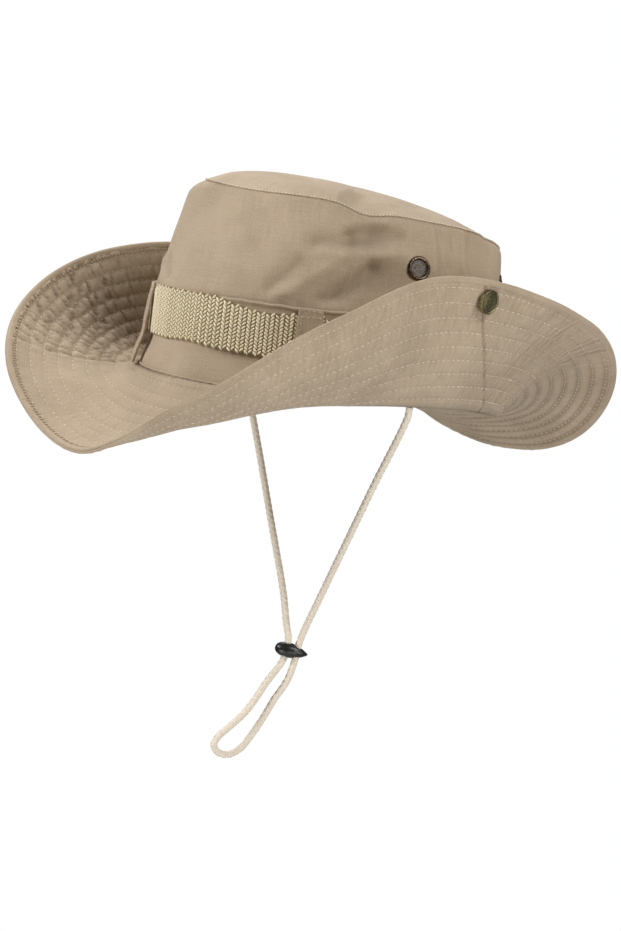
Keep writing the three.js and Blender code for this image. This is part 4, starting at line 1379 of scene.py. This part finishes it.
def brim_layer(name, side, finish, stands_for):
    """One layer as a closed ring: from the crown out along its quilted face, and back along its inner one."""
    ring_angle = (np.arange(BRIM_STATIONS) * 360 / BRIM_STATIONS)[:, None]
    face = brim_face(side)(ring_angle, OUTER_LEVELS[None, :])
    off_middle = side * 0.05 * MM + drift(ring_angle, INNER_LEVELS[None, :])
    middle = brim(ring_angle, INNER_LEVELS[None, :], off_middle)
    x, y = oval(ring_angle, GAP)
    seam = shape(SEAM, ring_angle) * BRIM_WIDTH
    half = np.minimum(BRIM_THICK / 2 / np.cos(np.radians(shape(ROOT, ring_angle))), BRIM_THICK)
    roots = [np.stack([x, y, seam + side * h], -1) for h in (0.05 * MM + 0 * half, half)]
    points = np.concatenate([roots[1], face, middle, roots[0]], 1)
    levels = np.concatenate([[0], OUTER_LEVELS, BRIM_WIDTH + np.cumsum(np.full(9, 9 * MM))])
    u = np.arange(BRIM_STATIONS + 1) * 360 / BRIM_STATIONS * 2.15 * MM
    # Painted shade only on the quilted face.
    painted_shade = np.zeros(points.shape[:2])
    painted_shade[:, 1:1 + len(OUTER_LEVELS)] = brim_painted_shade(ring_angle, OUTER_LEVELS[None, :], side)
    return make_piece(name, points, [ring_faces(BRIM_STATIONS, points.shape[1])], finish, "cloth",
                      stands_for, uv=ring_map(u, levels), painted_shade=painted_shade)


brim_layer("brim_upper", 1, upper_cotton, ["brim"])
brim_layer("brim_under", -1, under_cotton, [])

# %% [markdown]
# ## Rows of stitching
# Nine rows of stitches go round the brim, on both faces. They are sewn with the helper above, each stitch
# a small lens in the groove that its row makes.

# %% Brim stitches
STITCH = np.array((1.25, 0.27, 0.27)) * MM
STITCH_SPACING = 3.7 * MM


def stitch_size(angle):
    """Half length, half width and half height: the stitches stand out most behind the left side seam."""
    return STITCH * (0.92 + 0.25 * hump(angle, 24, 14))[:, None]


for name, side in (("upper_stitches", 1), ("under_stitches", -1)):
    rows = [sew(brim_face(side, 0.10 * MM), level, STITCH_SPACING, stitch_size) for level in ROW_LEVELS]
    make_piece(name, *join(rows), thread_finish, "cloth")

# %% [markdown]
# ## Gathers at the edge
# Beside the outermost row the cloth is eased into the binding, and stands up in a row of small beads. They
# are too fine for the brim's own grid, so they are lenses too, set across the row and made of the same cloth.

# %% Edge gathers
gathers = sew(brim_face(1, 0.12 * MM), 70.4 * MM, 2.2 * MM, (1.15 * MM, 0.78 * MM, 0.48 * MM), lean=88)
make_piece("edge_gathers", *gathers, crown_cotton, "cloth")

# %% [markdown]
# ## Brim edge
# A narrow binding is folded over the brim's edge and sewn down. It makes a light roll at the very edge and
# a second ridge inside it, with a thin dark line between them. A cross-section carried round the hat does it.

# %% Brim edge
half_edge = np.array([              # distance from the edge, height above the middle, in millimetres
    (3.6, 0.80), (3.5, 1.20), (3.1, 1.50), (2.5, 1.65), (1.8, 1.70), (1.1, 1.60), (0.5, 1.35), (0.1, 0.95),
    (0.02, 0.55), (0.6, 0.1),
]) * MM
section = np.concatenate([half_edge, half_edge[::-1] * (1, -1)])
ring_angle = (np.arange(BRIM_STATIONS) * 360 / BRIM_STATIONS)[:, None]
uneven = 1 + 0.10 * waves(ring_angle, (101, 137, 173))
points = brim(ring_angle, BRIM_WIDTH - section[:, 0], section[:, 1] * uneven + drift(ring_angle, BRIM_WIDTH))
edge_u = np.arange(BRIM_STATIONS + 1) * 360 / BRIM_STATIONS * 2.6 * MM
edge_v = np.arange(len(section) + 1) * 0.5 * MM
make_piece("brim_edge", points, [ring_faces(BRIM_STATIONS, len(section))], crown_cotton, "cloth",
           ["brim_binding"], uv=ring_map(edge_u, edge_v))

# %% [markdown]
# ## Seam at the head opening
# Brim and crown are joined by a seam that shows on both sides: a thin raised ridge where the crown meets
# the brim, and inside the opening a narrow turned hem that hangs a little below it.

# %% Seam and hem
def seam_ring(name, section, counts):
    """A closed cross-section of out and up carried along the brim seam, slightly wavy."""
    out, up = (np.array(section) * MM).T
    wavy = 0.25 * MM * waves(ring_stations, counts)
    x, y = oval(ring_stations, out + wavy)
    z = shape(SEAM, ring_stations) * BRIM_WIDTH + up + 0.8 * wavy
    points = np.stack(np.broadcast_arrays(x, y, z), -1)
    return make_piece(name, points, [ring_faces(RING, len(section))], crown_cotton, "cloth",
                      uv=ring_map(ring_u, np.arange(len(section) + 1) * 0.5 * MM))


t = np.linspace(0, 2 * np.pi, 8, endpoint=False)
ridge = np.stack([0.3 + 0.7 * np.cos(t), 1.7 + 0.6 * np.sin(t)], -1)
seam_ring("base_seam", ridge, (83, 97, 121))
turned_hem = [(-1.6, 0.4), (-0.2, 0.4), (0.1, -0.2), (0.0, -0.7), (-0.5, -1.1), (-1.1, -1.0), (-1.6, -0.6)]
seam_ring("opening_hem", turned_hem, (41, 57, 73))

# %% [markdown]
# ## Snaps
# A brass snap holds each side of the brim up against the crown: a cap under the brim, its socket on top of
# the brim and a stud on the crown. Brass that has been handled is dark olive in the hollows and lighter on
# the rim. All three are lathe shapes, set square to the cloth below them; the caps lean a little.

# %% Snaps
SNAP_WIDE, STUD_WIDE, SNAP_SHARE = 13.2 * MM, 9.5 * MM, 0.85
SNAP_TIP = 0.42                     # how far the caps lean back, as a share of their normal
SNAPS = [("left", 14.4), ("right", 189.6)]

brass_finish = mottled("aged_brass", 0.9 * MM, (0.15, 0.13, 0.06), (0.42, 0.37, 0.21), 0.34,
                       edge=(0.35, 0.8), worn=0.3, relief=0.04 * MM, detail=4, fine=0.6, Metallic=1.0)


def under_face(angle, s):
    """The plain under face, without quilting, which the fittings sit square to."""
    return brim(angle, s, -BRIM_THICK / 2)


def over_face(angle, s):
    """The plain upper face."""
    return brim(angle, s, BRIM_THICK / 2)


def fitting(name, profile, face, angle, level, sign, lift, stands_for, tip=(0, 0, 0)):
    """A lathe shape on a face, pointing along its normal or against it, and tipped over by a vector."""
    at, normal = place_on(face, angle, level, 3 * MM)
    axis = sign * normal
    points, faces = turned(rounded(profile, 0.3 * MM), at + axis * lift, axis + np.array(tip), 56)
    return weld(make_piece(name, points, faces, brass_finish, "aged_snap", stands_for, sharp=50))


r, q = SNAP_WIDE / 2, STUD_WIDE / 2
cap = [(0, -2.4 * MM), (r * 0.7, -2.4 * MM), (r * 0.95, -1.3 * MM), (r, -0.6 * MM), (r, 1.1 * MM),
       (r * 0.96, 1.45 * MM), (r * 0.89, 1.45 * MM), (r * 0.83, 1.05 * MM), (r * 0.78, 1.1 * MM),
       (r * 0.55, 1.5 * MM), (r * 0.30, 1.75 * MM), (0, 1.8 * MM)]
socket = [(0, -0.9 * MM), (r * 0.86, -0.9 * MM), (r * 0.86, 1.5 * MM), (r * 0.7, 2.1 * MM),
          (r * 0.42, 2.1 * MM), (r * 0.36, 1.0 * MM), (0, 1.0 * MM)]
stud = [(0, -0.6 * MM), (q, -0.6 * MM), (q, 0.6 * MM), (q * 0.9, 0.85 * MM), (q * 0.45, 1.0 * MM),
        (q * 0.42, 1.7 * MM), (q * 0.47, 2.2 * MM), (q * 0.3, 2.55 * MM), (0, 2.6 * MM)]
for side, angle in SNAPS:
    level = SNAP_SHARE * BRIM_WIDTH
    tip = np.array((0.55 if side == "left" else -0.55, 0.83, 0.11)) * SNAP_TIP
    lower = -0.5 if side == "left" else 0.5
    fitting(f"snap_cap_{side}", cap, under_face, angle + lower, level, 1, 1.3 * MM,
            [f"brim_snap_{side}"], tip)
    fitting(f"snap_socket_{side}", socket, over_face, angle, level, -1, 0.65 * MM,
            [f"brim_snap_socket_{side}"])
    fitting(f"snap_stud_{side}", stud, wall_face, angle, level - BRIM_THICK, 1, 0.35 * MM,
            [f"crown_stud_{side}"])

# %% [markdown]
# ## Floor
# The hat hangs in white space. From above or below one would still like some ground, so a pale disc lies a
# good way under it and fades out towards its rim. It is marked as stage and isn't part of the hat.

# %% Floor
FLOOR_DROP, FLOOR_RADIUS = 0.60, 1.2
floor_points, floor_faces = turned([(0, 0), (FLOOR_RADIUS, 0)], np.array((0, 0, -FLOOR_DROP)), (0, 0, 1), 96)
floor_mesh = bpy.data.meshes.new("pale_floor")
floor_mesh.from_pydata(floor_points.reshape(-1, 3).tolist(), [], floor_faces[0][::2].tolist())
floor = bpy.data.objects.new("pale_floor", floor_mesh)
bpy.context.collection.objects.link(floor)
weld(floor)
pale = Paint("pale_floor", Roughness=0.9)
pale_place = pale.add("TexCoord", {}, {}, out=3)
far_out = pale.add("VectorMath", {"operation": "LENGTH"}, {0: pale_place}, out=1)
pale.put(pale.shader.inputs["Alpha"], 1 - pale.between(far_out, 0.2 * FLOOR_RADIUS, 0.95 * FLOOR_RADIUS))
pale.shader.inputs["Base Color"].default_value = (0.9, 0.9, 0.9, 1)
floor_mesh.materials.append(pale.material)
floor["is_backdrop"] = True

# %% Compare the boxes and finish
low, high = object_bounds()
{"cad": [list(cad_low), list(cad_high)], "looks": [list(low), list(high)]}
print("packed", [round(v, 4) for v in cad_high - cad_low], "finished", [round(v, 4) for v in high - low])
